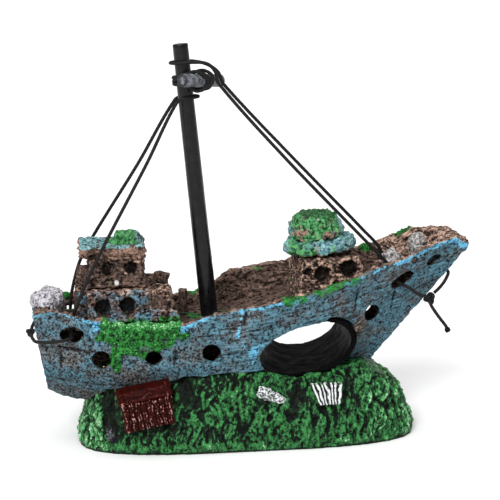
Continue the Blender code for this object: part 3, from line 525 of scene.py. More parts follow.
def set_camera():
    azimuth, elevation, distance = math.radians(-8), math.radians(12), 0.43
    target = Vector((0.0012, 0, 0.0545))
    back = Vector((math.sin(azimuth) * math.cos(elevation), -math.cos(azimuth) * math.cos(elevation),
                   math.sin(elevation)))
    data = bpy.data.cameras.new("camera")
    data.sensor_width = 36
    data.lens = 107.1
    camera = linked("camera", data)
    camera.location = target + back * distance
    camera.rotation_mode = "QUATERNION"
    camera.rotation_quaternion = (-back).to_track_quat("-Z", "Y")
    data.clip_start, data.clip_end = 0.01, 100
    bpy.context.scene.camera = camera


# ---- rigging

# Routes of the two stays. Each is one cord with its middle round the mast.
AFT_LOOP = [(-50.8, 9.8, 34.0), (-51.2, 13.4, 33.7), (-54.4, 15.1, 33.4), (-60.0, 13.0, 32.8), (-61.7, 7.0, 32.4),
            (-62.0, 2.0, 32.3)]
AFT_FAR = [(-13.5, 0, 99.2), (-17.2, 3.6, 98.9), (-19.9, 2.6, 98.0), (-30.4, 5.2, 79.7), (-43.0, 9.3, 58.9),
           (-47.4, 9.8, 50.9), (-50.0, 9.4, 42.0), (-50.6, 9.0, 37.2)] + AFT_LOOP
AFT_NEAR = [(-17.2, -3.6, 98.9), (-19.7, -2.8, 98.0), (-28.7, -6.2, 81.3), (-38.9, -10.8, 63.6),
            (-44.3, -11.5, 53.4), (-48.6, -11.2, 43.6), (-50.6, -9.2, 37.4)] + [(x, -y, z) for x, y, z in AFT_LOOP]
FORE_NEAR = [(-21.3, 0, 108.6), (-19.6, -2.8, 108.7), (-16.0, -3.7, 109.0), (-11.4, -3.8, 108.6),
             (-9.0, -3.6, 106.2), (-8.1, -3.0, 103.0), (10.3, -3.2, 82.2), (33.4, -4.0, 58.1), (40.4, -4.5, 50.9),
             (42.2, -5.0, 48.2), (42.6, -5.6, 46.2), (44.0, -8.4, 45.0), (45.6, -10.7, 44.5), (49.6, -8.5, 41.6),
             (52.3, -5.1, 40.3)]
FORE_FAR = [(-19.6, 2.8, 108.7), (-16.0, 3.4, 108.9), (-11.4, 2.0, 108.2), (-7.9, 0.6, 106.0),
            (-6.2, 0.3, 102.4), (14.2, 2.4, 80.6), (35.4, 3.9, 58.7), (40.4, 4.5, 53.2), (42.0, 4.9, 48.6),
            (42.6, 5.4, 46.2), (44.0, 8.4, 45.0), (45.8, 11.0, 45.6), (52.0, 8.7, 46.2), (58.2, 4.4, 46.5),
            (60.4, 0.6, 46.3), (59.2, -2.0, 44.6), (57.0, -3.5, 42.4), (55.2, -3.9, 40.9)]
TAIL = [(54.2, -4.5, 37.4), (55.3, -4.6, 35.6), (57.1, -4.7, 33.1), (58.8, -4.7, 30.9)]
AFT_KNOT, FORE_KNOT, TAIL_KNOT = (-62.3, 0, 32.3), (53.8, -4.2, 39.3), (59.3, -4.7, 29.8)


def make_cord(node, suffix, line, body="ornament", radius=CORD_D / 2, closed=False, sides=14):
    cast = Cast(tube(line, radius, sides, closed))
    return cast.made(node, suffix, "black_cord", body, strand=cast.relief(3, 30.0))


def make_knot(node, centre, size, turn=0.0):
    """Overhand knot pulled tight: a trefoil of the same cord."""
    t = np.arange(72) / 72 * 2 * math.pi
    line = np.stack([np.sin(t) + 2 * np.sin(2 * t), -1.3 * np.sin(3 * t), np.cos(t) - 2 * np.cos(2 * t)], -1)
    c, s = math.cos(turn), math.sin(turn)
    line = line @ np.array([[c, 0, s], [0, 1, 0], [-s, 0, c]]) * (size - 0.45) / 3
    return make_cord(node, "tied", line + np.array(centre), radius=0.52, closed=True, sides=10)


def mast_point(z):
    return np.array(MAST_FOOT.lerp(MAST_TOP, (z - MAST_FOOT.z) / (MAST_TOP.z - MAST_FOOT.z)))


def yard_frame():
    up = np.array((MAST_TOP - MAST_FOOT).normalized())
    spar = np.array(Vector((math.cos(YARD_SWIVEL), math.sin(YARD_SWIVEL), YARD_DIP)).normalized())
    fore = np.cross(spar, up)
    fore /= np.linalg.norm(fore)
    touch = mast_point(YARD_HEIGHT) + fore * (MAST_TOP_R + 0.1 + GAP + YARD_R)
    return touch, spar, fore, up


def make_rigging():
    stays = {}
    for name, near, far in (("aft_stay", AFT_NEAR, AFT_FAR), ("fore_stay", FORE_NEAR, FORE_FAR)):
        line = smooth_route(near[::-1] + far, CORD_STEP)
        stay = make_cord(name, "cord", line, None)
        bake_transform(stay)
        stays[name] = (stay, line)
    aft_knot = make_knot("aft_knot", AFT_KNOT, 1.35)
    fore_knot = make_knot("fore_knot", FORE_KNOT, 1.9, 0.6)
    tail = make_cord("cord_tail", "end", smooth_route([FORE_KNOT] + TAIL + [TAIL_KNOT], CORD_STEP))
    blob = Cast(ball(TAIL_KNOT, (0.85, 0.85, 1.0), 4))
    blob.push(0.22 * layered(blob.p, 1.1, 5, 2))
    blob = blob.made("tail_knot", "melted", "black_cord", strand=blob.relief(6, 8.0))
    for name, pieces in (("aft_stay", [aft_knot]), ("fore_stay", [fore_knot, tail, blob])):
        stay, line = stays[name]
        length = float(np.linalg.norm(np.diff(line, axis=0), axis=1).sum()) * MM


def make_lashing():
    """Three turns round mast and yard, the last one crossing the other two."""
    touch, spar, fore, up = yard_frame()
    axis = mast_point(YARD_HEIGHT)
    off = float(np.linalg.norm(touch - axis))
    line = []
    for spread, behind, out, side in ((-0.9, 1.0, 0.0, 1), (0.15, -0.05, 0.05, 1), (0.7, -1.1, 0.55, -1)):
        line += [(-2.8, 0.0, behind), (-1.7, -2.4, 0.8 * behind), (off - 0.9, -2.4, side * 1.9),
                 (off + 0.5, -0.6, side * (2.45 + out)), (off + 1.9 + out, 1.6 + spread, side * 1.6),
                 (off + 2.4 + out, 3.0 + spread, 0), (off + 1.6 + out, 3.5 + spread, -side * 1.8),
                 (off - 0.7, 3.2 + 0.6 * spread, -side * (2.35 + out)), (0.2, 2.9, -side * 1.5),
                 (-1.9, 2.1, behind - 0.5)]
    points = [axis + fore * n + spar * a + up * m for n, a, m in line]
    line = smooth_route(points, CORD_STEP, closed=True)
    make_cord("masthead_lashing", "turns", line, "yard", closed=True, sides=12)


def ball(centre, half, divisions):
    bm = bmesh.new()
    bmesh.ops.create_icosphere(bm, subdivisions=divisions, radius=MM)
    for vert in bm.verts:
        vert.co = Vector(v * h for v, h in zip(vert.co, half)) + Vector(centre) * MM
    mesh = bpy.data.meshes.new("ball")
    bm.to_mesh(mesh)
    bm.free()
    return mesh


def make_spars():
    way = np.array((MAST_TOP - MAST_FOOT).normalized())
    length = (MAST_TOP - MAST_FOOT).length
    profile = [(0, MAST_FOOT_R - 0.5), (0.25, MAST_FOOT_R - 0.12)]
    profile += [(length * i / 160, MAST_FOOT_R + (MAST_TOP_R - MAST_FOOT_R) * i / 160) for i in range(1, 159)]
    profile += [(length - 0.3, MAST_TOP_R), (length - 0.06, MAST_TOP_R - 0.1), (length, MAST_TOP_R - 0.34)]
    cast = turned(MAST_FOOT, way, profile, 48)
    local = cast.p - np.array(MAST_FOOT)
    angle = np.arctan2(local[:, 1], local[:, 0])
    flats = 0.035 * np.cos(6 * angle + 0.6)
    seam = 0.07 * (bell(angle, -2.2, 0.06) + bell(angle, 0.94, 0.06))
    cast.push(np.where(local[:, 2] < length - 0.1, flats + seam, 0) + 0.03 * layered(cast.p, (2, 2, 9), 3, 2))
    cast.made("mast", "rod", "mast_black", "mast")

    touch, spar, fore, up = yard_frame()
    start = touch + spar * (YARD_SHIFT - YARD_HALF_LENGTH)
    length = 2 * YARD_HALF_LENGTH
    end = [(YARD_CUP_DEPTH, 0.2), (YARD_CUP_DEPTH, YARD_CUP_R - 0.15), (YARD_CUP_DEPTH - 0.1, YARD_CUP_R),
           (0.1, YARD_CUP_R + 0.02), (0, YARD_CUP_R + 0.12), (0, YARD_R - 0.22), (0.08, YARD_R - 0.06)]
    profile = end + [(0.25 + (length - 0.5) * i / 60, YARD_R) for i in range(61)]
    profile += [(length - d, r) for d, r in end[::-1]]
    cast = turned(start, spar, profile, 44)
    cast.push(0.05 * layered(cast.p, 2.2, 8, 3))
    run = (cast.p - start) @ spar
    # Painted shade in the cups at both ends of the yard.
    ends = np.maximum(step(-run, -0.5, -0.1), step(run, length - 0.5, length - 0.1))
    cast.made("yard", "spar", "yard_grey", "yard", gloom=0.8 * ends)
    make_lashing()


# ---- rock base and tunnel

def tunnel_reach(p):
    """How far each point lies outside the tunnel's ellipse, seen from the side."""
    x = p[:, 0] - TUNNEL_CENTRE[0] - TUNNEL_SKEW * p[:, 1]
    z = p[:, 2] - TUNNEL_CENTRE[1] - TUNNEL_RISE * p[:, 1]
    c, s = math.cos(TUNNEL_TILT), math.sin(TUNNEL_TILT)
    a = (x * c + z * s) / (TUNNEL_HALF[0] - TUNNEL_NARROWING * p[:, 1])
    b = (z * c - x * s) / TUNNEL_HALF[1]
    return (np.hypot(a, b) - 1) * TUNNEL_HALF[1]


def make_base():
    cast = remeshed("rock_base", 0.4)
    cast.soften(2)
    p = cast.p
    x, y, z = p.T
    chamber = (np.abs(x + 24.75) < 17.3) & (np.abs(y) < 11.0) & (z < 24)
    wall = step(np.abs(y), 10, 14) + step(np.abs(x), 36, 44)
    free = step(z, 0.6, 2.2) * (1 - chamber) * np.clip(wall, 0.25, 1)
    warp = p + 1.8 * np.stack([noise(p, 6, 40), noise(p, 6, 41), noise(p, 8, 42)], -1)
    flutes = layered(warp, (4.2, 4.2, 9.0), 1, 2, ridged=True)
    lumps = layered(warp, (3.2, 3.2, 4.4), 7, 3)
    grit = layered(p, 1.4, 9, 2)
    crack = step(1 - 2.6 * np.abs(noise(warp, (4.6, 4.6, 10.0), 5)), 0.45, 0.95) * step(noise(p, 7, 6), -0.45, 0.1)
    holes = step(noise(p, (1.7, 1.7, 2.2), 8), 0.3, 0.62)
    front = step(-y, 0, 8)
    cleft = front * step(z, 1, 4) * (
        1.4 * bell(x + 0.12 * (z - 10), -41.0, 2.3) + 0.8 * bell(x, -20.0, 2.0) * step(z, 8, 13)
        + bell(x - 0.2 * (z - 15), 26.4, 0.9) * step(z, 9, 12) + 0.9 * bell(x, 12.6, 1.6) * step(z, 10, 14)
        + 0.6 * bell(x, 36.2, 0.8))
    streaks = layered(warp, (1.0, 1.0, 3.4), 63, 3)
    depth = 0.4 * flutes + 0.6 * lumps + 0.25 * grit + 0.42 * streaks - 0.5 * crack - 0.5 * holes - 1.1 * cleft

    # Nothing swells over the chest, the shells, the tunnel's mouths or the air inlet.
    clear = np.maximum(step(tunnel_reach(p), 0.2, 2.2), 0.25)
    for cx, cz, rx, rz in ((-30.7, 15.0, 8.0, 8.0), (20.2, 16.2, 5.6, 4.4), (4.8, 16.0, 5.4, 3.4)):
        clear *= np.where(y < -8, step(np.hypot((x - cx) / rx, (z - cz) / rz), 0.7, 1.15), 1)
    clear *= np.where(y > 5, step(np.hypot(x + 13.0, z - 8.6), 4.5, 7.0), 1)
    cast.push(np.where(depth > 0, depth * clear, depth) * free)
    cast.place(np.maximum(cast.p, (-np.inf, -np.inf, 0)))
    p = cast.p

    relief = np.clip(cast.relief(16, 1.1) + 0.25 * lumps + 0.35 * streaks - 0.3 * crack - 0.3 * holes, -1, 1)
    patch = 0.6 * noise(p, 7, 60) + 0.5 * noise(p, 3.2, 62)
    # Painted shade: dark patches under the hull right of the chest, in the left cleft, by the shells below the
    # tunnel and below the chest. They thin the moss and the pale coat and darken the rock.
    shade = front * (bell(x, -19.4, 2.6) * step(z, 11, 16) + 0.8 * bell(x, -40.8, 2.4) * step(z, 5, 8)
                     + spots(x, z, (0.9, 12.4, 15.5, 3.0, 3.2), (0.7, 26.3, 15.0, 1.5, 4.0),
                             (0.6, -31, 8.0, 9, 2.2)))
    above = 1 - step(-z, -0.9, -0.4)  # the foot's edge stays bare and dark
    moss = unit(0.6 + 0.5 * patch + 0.5 * bell(x, -46.5, 3.2) + 0.22 * step(x, 26, 36) - 0.12 * bell(x, -12, 9)
                + spots(x, z, (0.35, -6.0, 15.0, 3.5, 4.0)) - 0.75 * shade - 0.2 * cleft
                + 0.5 * step(-z, -3.4, -2.2) * step(z, 0.7, 1.1))
    bare = unit(bell(x, -41.0, 2.2) * front * step(-z, -15, -6) + 0.35 * noise(p, 5, 61) - 0.3) * step(z, 1.5, 4)
    pale = unit(0.85 * step(-x, 40, 45) + 0.75 * step(x, 27, 38) + 0.5 * noise(p, 6, 64) - 0.35 * shade)
    cast.made("rock_base", "mossy", "mossy_rock", relief=relief, moss=moss * above, pale=pale * above,
              bare=bare * above, grain=warp * MM, lined=np.full(cast.count, 0.75),
              gloom=np.clip(0.5 * shade, 0, 0.6))


def make_tunnel():
    cast = remeshed("swim_tunnel", 0.4)
    cast.soften(2)
    cast.push(0.22 * layered(cast.p, 5.0, 12, 3) - 0.05)
    cast.made("swim_tunnel", "lining", "tunnel_black", relief=cast.relief(8, 3.0))


# ---- hull and deck

def hull_place(p):
    """Share of the hull's length, share of its height, depth in from the outside, and depth below the rail."""
    x, y, z = p.T
    t = np.full(len(p), 0.5)
    for _ in range(8):
        foot = STERN_KEEL_X * (1 - t) + STERN_RAIL_X * t
        head = STEM_FOOT_X * (1 - t) + STEM_HEAD_X * t
        s = unit((x - foot) / (head - foot))
        rail_x = STERN_RAIL_X + (STEM_HEAD_X - STERN_RAIL_X) * s
        rail = np.where(y < 0, along(RAIL_NEAR, rail_x), along(RAIL_FAR, rail_x))
        keel = along(KEEL, s)
        t = unit((z - keel) / (rail - keel))
    breadth, vee = along(HALF_BREADTH, s), along(VEE, s)
    out = breadth * (np.sqrt(1 - (1 - t) ** 4) * (1 - vee) + t ** 0.8 * vee)
    return s, t, out - np.abs(y), rail - z


def make_hull():
    cast = remeshed("hull_shell", 0.44)
    cast.soften(2)
    p = cast.p
    x, y, z = p.T
    nx, ny, nz = cast.n.T
    near = step(-y, 4, 9)
    s, t, deep, below = hull_place(p)
    sheer = along(SHEER, x) - z
    facing = ny * np.sign(y) * 0.9 - nz * 0.5 * step(-t, -0.5, 0) - nx * 2.0 * (s < 0.03) + nx * 1.2 * (s > 0.97)
    inside = (facing < -0.05) | ((deep > 1.3) & (facing < 0.35) & (s > 0.03))
    inner = cast.average(np.where(inside, 1.0, 0.0), 3)
    outer = 1 - inner
    top = step(nz, 0.45, 0.8) * step(-below, -3.0, -1.0)
    lined = step(x, -24, -8)
    wave = np.where(inner > 0.5, 5.0, 0.5) * noise(p, 9, 38)
    grain = np.stack([x, sheer, np.abs(y) * 0.6], -1) + wave[:, None]

    # Planks, butts and pocks outside; swirling grain inside; a broken edge along the rail.
    planks = np.zeros(len(x))
    for line, lead in ((6.6, 0.4), (12.6, 0.9), (20.0, 1.2)):
        fade = step(noise(p, (8, 8, 6), 70 + int(line)), -0.4 - lead * 0.3, 0.4 - lead * 0.4)
        planks += bell(sheer - line - 0.6 * noise(p, 12, int(line)), 0, 0.34) * fade
    seam = bell(z - 30.4 + 0.1 * (x + 51) - 0.5 * noise(p, 5, 71), 0, 0.4) * bell(x, -50.5, 5.5)
    butts = sum(bell(x - bx - 0.08 * (z - bz), 0, 0.38) * bell(z, bz, half) for bx, bz, half in
                ((-54.0, 26.6, 2.6), (-22.4, 27.9, 2.0), (-2.6, 39.4, 2.0), (30.2, 42.0, 3.0), (42.5, 41.5, 3.4)))
    ribs = layered(grain, (8.0, 0.9, 3.0), 20, 2) * (0.15 + 0.85 * lined)
    rough = layered(p, 3.0, 21, 3)
    grit = layered(p, 1.1, 23, 2) * (1 - 0.6 * lined)
    pocks = step(noise(p, 1.15, 22), 0.4, 0.7)
    swirl = layered(p + 2.4 * noise(p, 6, 35)[:, None], (7.0, 3.0, 1.1), 30, 3)
    broken = 0.5 * layered(p, 2.6, 24, 3) + 0.1 - 0.5 * step(noise(p, 1.6, 36), 0.3, 0.6)
    depth = (outer * (0.05 * ribs + 0.22 * rough + 0.16 * grit - 0.2 * planks - 0.5 * seam - 0.45 * butts
                      - 0.34 * pocks)
             + inner * (0.7 * swirl + 0.3 * rough - 0.08) + broken * step(-below, -3.6, -0.6))

    # Moss hangs over the waist and along the rail; paint runs down amidships; the tunnel and the ports have lips.
    waist = (1 - ((x + 31.5) / 13.0) ** 2 - ((z - 35.5) / 7.6) ** 2
             + 0.55 * noise(p, 3.6, 25) + 0.3 * noise(p, 1.6, 26))
    drip = 1 - ((x + 39.0 + 0.15 * (z - 28)) / 1.8) ** 2 - ((z - 27.0) / 3.4) ** 2
    hanging = step(np.maximum(waist, drip) * near, -0.05, 0.35) * (1 - 0.5 * step(noise(p, 3.2, 39), 0.12, 0.45))
    dabs = (0.64 * bell(below, 0.5, 2.9) * step(x, 3, 9) * step(-x, -37, -31) * step(noise(p, 4.2, 27), -0.4, 0.2)
            * step(-y, 2, 5))
    far_dabs = 0.9 * bell(below, 0.3, 2.5) * step(y, 4, 9) * step(noise(p, 6.0, 29), 0.0, 0.5)
    moss = unit(np.maximum.reduce([hanging, dabs, far_dabs]))
    runs = near * (bell(x, -4.6 - 0.25 * (35 - z), 1.1) * step(z, 31, 34)
                   + spots(x, z, (0.8, -3.2, 31.0, 1.4, 2.4), (0.7, -0.8, 30.0, 1.6, 2.6)))
    rim = tunnel_reach(p)
    ports = sum(bell(np.hypot((x - px) / 1.25, z - pz), pr + 0.3, 0.8)
                for px, pz, pr in PORTHOLES[:1] + PORTHOLES[2:])
    depth += outer * (moss * (0.35 + 0.5 * layered(p, (1.3, 1.3, 2.2), 28, 2)) + 0.25 * runs
                      + 0.25 * bell(rim, 1.6, 1.5) * (np.abs(y) > 8) - 0.12 * ports * (np.abs(y) > 3))
    cast.push(depth + 1.6 * top * near * step(x, -46, -43) * step(-x, 19, 22))
    p = cast.p

    relief = cast.relief(10, 1.2) - outer * (0.2 * planks + 0.8 * (seam + butts) + 0.4 * pocks)
    edge = step(-below, -2.4, -0.5) * outer
    blue = outer * (0.62 + 0.34 * noise(p, 9, 31) + 0.2 * noise(p, 3.5, 37)
                    - 0.22 * bell(x, -34, 9) * step(-z, -27, -22)
                    + 0.06 * lined + 0.07 * step(x, 36, 46) - 0.06 * step(below, 8.0, 13.0) * step(-x, 16, 22))
    cyan = outer * unit(
        edge * (0.8 + 0.5 * noise(p, 5, 32)) * (1 - 0.7 * bell(x, -31, 9)) + runs + 0.3 * noise(p, 8, 33)
        + 0.6 * bell(rim, 1.0, 1.0) * (np.abs(y) > 6) * (x < 8) + 0.42 * step(x, 32, 44)
        + spots(x, z, (0.5, 32.4, 40.5, 2.6, 3.2), (0.4, 38.6, 35.5, 1.0, 3.0), (0.6, 33.4, 27.5, 1.6, 2.4),
                (0.35, -53, 31.5, 3.5, 2.5), (0.7, -45.0, 35.0, 1.6, 2.4), (0.6, -57.0, 25.0, 1.8, 4.0))
        + spots(x, below, (0.75, -18.0, 1.8, 3.6, 2.6)))
    plank_lip = bell(x - 0.45 * (z - 30), 30.6, 2.2) * bell(z, 30.5, 5.0) * (y < -6)
    peach = (inner * (0.3 * step(z, 40, 48) + 0.75 * step(x, 36, 44)) + 1.1 * plank_lip
             + top * (0.5 + 0.25 * step(x, 30, 45) + 0.5 * noise(p, 3, 34)))
    # Painted shade inside the portholes, and low on the hull aft of amidships, just above the rock.
    gloom = np.maximum(ports_in(cast), 0.28 * outer * step(-z, -26, -22) * step(-x, 6, 20))
    cast.made("hull_shell", "", "hull_paint", name="hull_planking", relief=np.clip(relief, -1, 1),
              blue=blue * (1 - 0.9 * top) * (1 - plank_lip), cyan=cyan * (1 - 0.8 * top),
              wood=unit(np.maximum(inner, 0.85 * top) + 0.9 * plank_lip), peach=unit(peach), moss=moss,
              grain=grain * MM, lined=unit(lined * outer + inner), gloom=gloom,
              chip=chip(cast, (63.4, -3.6, 57.0), 0.9))


def make_deck():
    cast = remeshed("deck", 0.42)
    cast.soften(1)
    p = cast.p
    x, y, z = p.T
    up = step(cast.n[:, 2], 0.5, 0.8)
    seam = np.abs((y / DECK_PLANK + 0.5) % 1 - 0.5) * DECK_PLANK
    butt = np.abs(((x + 7 * np.floor(y / DECK_PLANK + 0.5)) / DECK_BUTT + 0.5) % 1 - 0.5) * DECK_BUTT
    depth = 0.18 * layered(p, (9, 1, 1), 50, 2) + 0.16 * layered(p, 3.0, 51, 3)
    depth -= up * (0.4 * bell(seam, 0, 0.35) + 0.25 * bell(butt, 0, 0.3))
    cast.push(depth * (0.5 + 0.5 * step(np.abs(up - 0.5), -0.1, 0.4)) - 0.02)
    waist = step(-y, 10, 12.5) * step(x, -47, -44) * step(-x, 19, 22)
    moss = unit(step(noise(cast.p, 6.5, 52), 0.1, 0.5) * up * (0.6 + 0.4 * step(-x, 10, 20)) + waist)
    cast.made("deck", "planks", "weathered_timber", relief=cast.relief(8, 3.0), moss=moss,
              peach=0.25 + 0.25 * noise(cast.p, 5, 53), grain=p * MM, lined=np.ones(cast.count))


# ---- cabins and fittings

def rough_block(node, suffix, slot, voxel, seed, soften, swell, masks, shape=None):
    """A cast block: edges rounded, walls lumpy and pitted."""
    cast = remeshed(node, voxel)
    cast.soften(soften)
    if shape:
        cast.push(shape(cast, *cast.p.T))
    grain = cast.p
    lumps = layered(grain, 3.6, seed, 3)
    grit = layered(grain, 1.3, seed + 1, 2)
    pits = step(noise(grain, 1.3, seed + 2), 0.34, 0.66)
    cast.push(swell * (0.75 * lumps + 0.5 * grit) - 0.4 * pits)
    relief = np.clip(cast.relief(8, 1.8) + 0.3 * grit - 0.4 * pits, -1, 1)
    found = {"relief": relief, "peach": np.full(cast.count, 0.45), "grain": grain * MM,
             "lined": np.full(cast.count, 0.35)}
    cast.made(node, suffix, slot, **{**found, **masks(cast, *cast.p.T)})


def reach_of(cast, holes):
    """For each point, how far it lies outside the nearest (x, z, radius) round hole, seen from the side."""
    x, y, z = cast.p.T
    ragged = 0.35 * noise(cast.p, 1.8, 260)
    return np.min([np.hypot(x - cx, z - cz) - r for cx, cz, r in holes], axis=0) + ragged


def chip(cast, place, size):
    """A flake of paint gone, down to the white casting."""
    far = np.linalg.norm((cast.p - np.array(place)) * (1, 0.5, 0.75), axis=1) + 0.3 * noise(cast.p, 0.9, 262)
    return step(-far, -size, -size + 0.25)


def ports_in(cast):
    """Shade on the walls inside the portholes."""
    return 0.75 * step(-reach_of(cast, PORTHOLES), -0.1, 0.35) * (np.abs(cast.p[:, 1]) > 4)


def walled(holes, rim=0.35):
    """Shape for a wall: a raised ragged rim round each window."""
    def shape(c, *place):
        return rim * bell(reach_of(c, holes), 0.9, 0.6) * step(np.abs(c.n[:, 1]), 0.5, 0.8)
    return shape


def make_stern_cabin():
    def lower(c, x, y, z):
        front, ledge, bay = step(-c.n[:, 1], 0.1, 0.6), step(c.n[:, 2], 0.3, 0.8), step(x, -36, -30)
        return dict(
            blue=unit(front * (0.66 + 0.45 * noise(c.p, 3, 80) - 0.6 * step(x, -31, -25)
                                  + 0.3 * step(-z, -40.6, -39.6) * bay) + 0.4 * ledge * step(-z, -42, -41) * bay),
            moss=unit(step(-z, -40.2, -38.2) * step(-y, 8, 12) * (0.45 + 0.6 * noise(c.p, 3, 81))
                         * step(x, -47, -44)),
            peach=unit(0.32 + 0.5 * ledge + 0.7 * bell(z, 45.6, 0.8) + 0.35 * step(x, -30, -26)
                          + 0.3 * noise(c.p, 5, 82)),
            # Painted shade inside the windows.
            gloom=0.95 * step(-reach_of(c, LOWER_WINDOWS), -0.2, 0.4) * (np.abs(y) > 8.6))

    def upper(c, x, y, z):
        return dict(
            blue=0.3 * step(noise(c.p, 3.5, 83), 0.2, 0.6), moss=0.3 * step(noise(c.p, 5, 84), 0.35, 0.7),
            peach=0.42 + 0.3 * noise(c.p, 4, 85) + 0.5 * bell(z, 54.3, 0.8), lined=np.full(c.count, 0.75),
            # Painted shade inside the windows and in a band across the front at z 53.2.
            gloom=0.9 * step(-reach_of(c, UPPER_WINDOWS), -0.2, 0.4) * (np.abs(y + 0.5) > 6.0)
            + 0.25 * bell(z, 53.2, 0.9) * step(-y, 5, 7),
            chip=chip(c, (-37.8, -9.0, 48.0), 0.8))

    def flared(c, x, y, z):
        foot = step(-z, -49.5, -46.8) * (np.abs(c.n[:, 2]) < 0.6)
        return walled(UPPER_WINDOWS, 0.25)(c) + 0.22 * layered(c.p, (7.0, 7.0, 0.95), 262, 2) + 0.7 * foot

    def roof(c, x, y, z):
        mound = 1 - np.hypot(x + 34.3, y + 1.5) / 7.0
        under = step(-z + 0.6 * noise(c.p, 3, 89), -58.3, -57.6)
        return dict(
            teal=unit(0.75 - 0.4 * under + 0.3 * noise(c.p, 4, 86)),
            moss=unit(step(mound, -0.1, 0.4) * step(-x, 30.5, 33.5)
                         + 0.6 * step(noise(c.p, 4, 87), 0.1, 0.5) * step(x, -44, -38)) * (1 - 0.7 * under),
            peach=unit(under * 1.3 + 0.25 * step(noise(c.p, 3, 88), 0.3, 0.6)),
            # Painted shade under the roof's left end.
            gloom=0.6 * under * bell(x, -44.5, 2.2))

    def ragged(c, x, y, z):
        edge = step(np.maximum(np.abs(x + 38.7) / 9.4, np.abs(y + 1.0) / 8.3), 0.85, 1.0)
        under = step(-z, -57.0, -55.6) * (np.abs(c.n[:, 2]) < 0.6)
        return 0.9 * edge * layered(c.p, (3.0, 3.0, 6.0), 265, 2) - 0.8 * under

    rough_block("stern_cabin_lower", "walls", "weathered_timber", 0.32, 100, 4, 0.6, lower, walled(LOWER_WINDOWS))
    rough_block("stern_cabin_upper", "walls", "weathered_timber", 0.28, 110, 4, 0.6, upper, flared)
    rough_block("stern_cabin_roof", "slab", "teal_roof", 0.28, 120, 6, 0.7, roof, ragged)


def make_bow_cabin():
    def walls(c, x, y, z):
        windows = reach_of(c, BOW_WINDOWS)
        return dict(
            blue=0.3 * step(noise(c.p, 3.5, 91), 0.2, 0.6),
            moss=unit(step(noise(c.p, 5, 92), 0.15, 0.5) * step(-z, -47, -43) * 0.8),
            peach=unit(0.8 + 0.35 * noise(c.p, 4, 93) + 0.4 * bell(windows, 0.9, 0.7)),
            # Painted shade inside the windows.
            gloom=0.9 * step(-windows, -0.1, 0.6) * (np.abs(y) > 5.6))

    def woven(c, x, y, z):
        swirl = layered(c.p + 2.2 * noise(c.p, 5, 266)[:, None], (5.0, 5.0, 1.0), 267, 2)
        foot = step(-z, -46, -43) * (np.abs(c.n[:, 2]) < 0.6)
        return walled(BOW_WINDOWS, 0.6)(c) + 0.4 * swirl + 0.6 * foot

    def skirt(c, x, y, z):
        front = step(-y, 3, 7) * step(-x, -22, -17)
        return dict(
            teal=unit(0.9 + 0.35 * noise(c.p, 4, 94)),
            moss=unit(0.4 * step(noise(c.p, 3.6, 95), 0.05, 0.4) + 0.55 * front + 0.3 * step(-x, -17, -12)),
            peach=unit(0.5 * step(-c.n[:, 2], 0.3, 0.7) + 0.5 * step(noise(c.p, 2.6, 96), 0.2, 0.5)))

    def cap(c, x, y, z):
        sides = step(np.abs(x - 19.6), 5.4, 7.2)
        return dict(
            teal=unit(0.35 + 0.5 * sides + 0.4 * noise(c.p, 4, 97)),
            moss=unit(0.8 - 0.55 * sides + 0.5 * noise(c.p, 3.2, 98)),
            peach=unit(0.85 * step(noise(c.p, 2.4, 99), 0.0, 0.3) * step(-z, -64.5, -61)),
            # Painted shade over the top of the cap, above z 64.2.
            chip=chip(c, (19.8, -5.2, 63.4), 0.9), gloom=0.5 * step(z, 64.2, 65.2))

    rough_block("bow_cabin", "walls", "weathered_timber", 0.3, 130, 4, 0.6, walls, woven)
    rough_block("bow_turret_skirt", "ring", "teal_roof", 0.28, 140, 5, 1.3, skirt)
    rough_block("bow_turret_cap", "mossy", "moss", 0.28, 150, 5, 1.1, cap)


def make_fittings():
    def bark(c, x, y, z):
        return dict(peach=0.55 + 0.3 * noise(c.p, (1.2, 1.2, 5), 160))

    def rusty(c, x, y, z):
        return dict(rust=unit(0.8 * step(noise(c.p, 2.4, 205), 0.25, 0.55) * step(x, 46, 50)))

    def boulder(c, x, y, z):
        return 1.1 * layered(c.p, 4.2, 268, 2) - 0.9 * step(z, 44.2, 46.2)

    for i, node in enumerate(("quarter_post", "waist_post_tall", "waist_post_short")):
        rough_block(node, "stump", "weathered_timber", 0.2, 170 + 10 * i, 4, 0.3, bark)
    rough_block("taffrail_rock", "pale", "grey_rock", 0.24, 200, 4, 0.6, rusty, boulder)
    for node, seed in (("foredeck_rock_aft", 210), ("foredeck_rock_fore", 220)):
        rough_block(node, "silver", "silvered_rock", 0.24, seed, 4, 0.6, rusty)


# ---- chest and shells on the rock's front

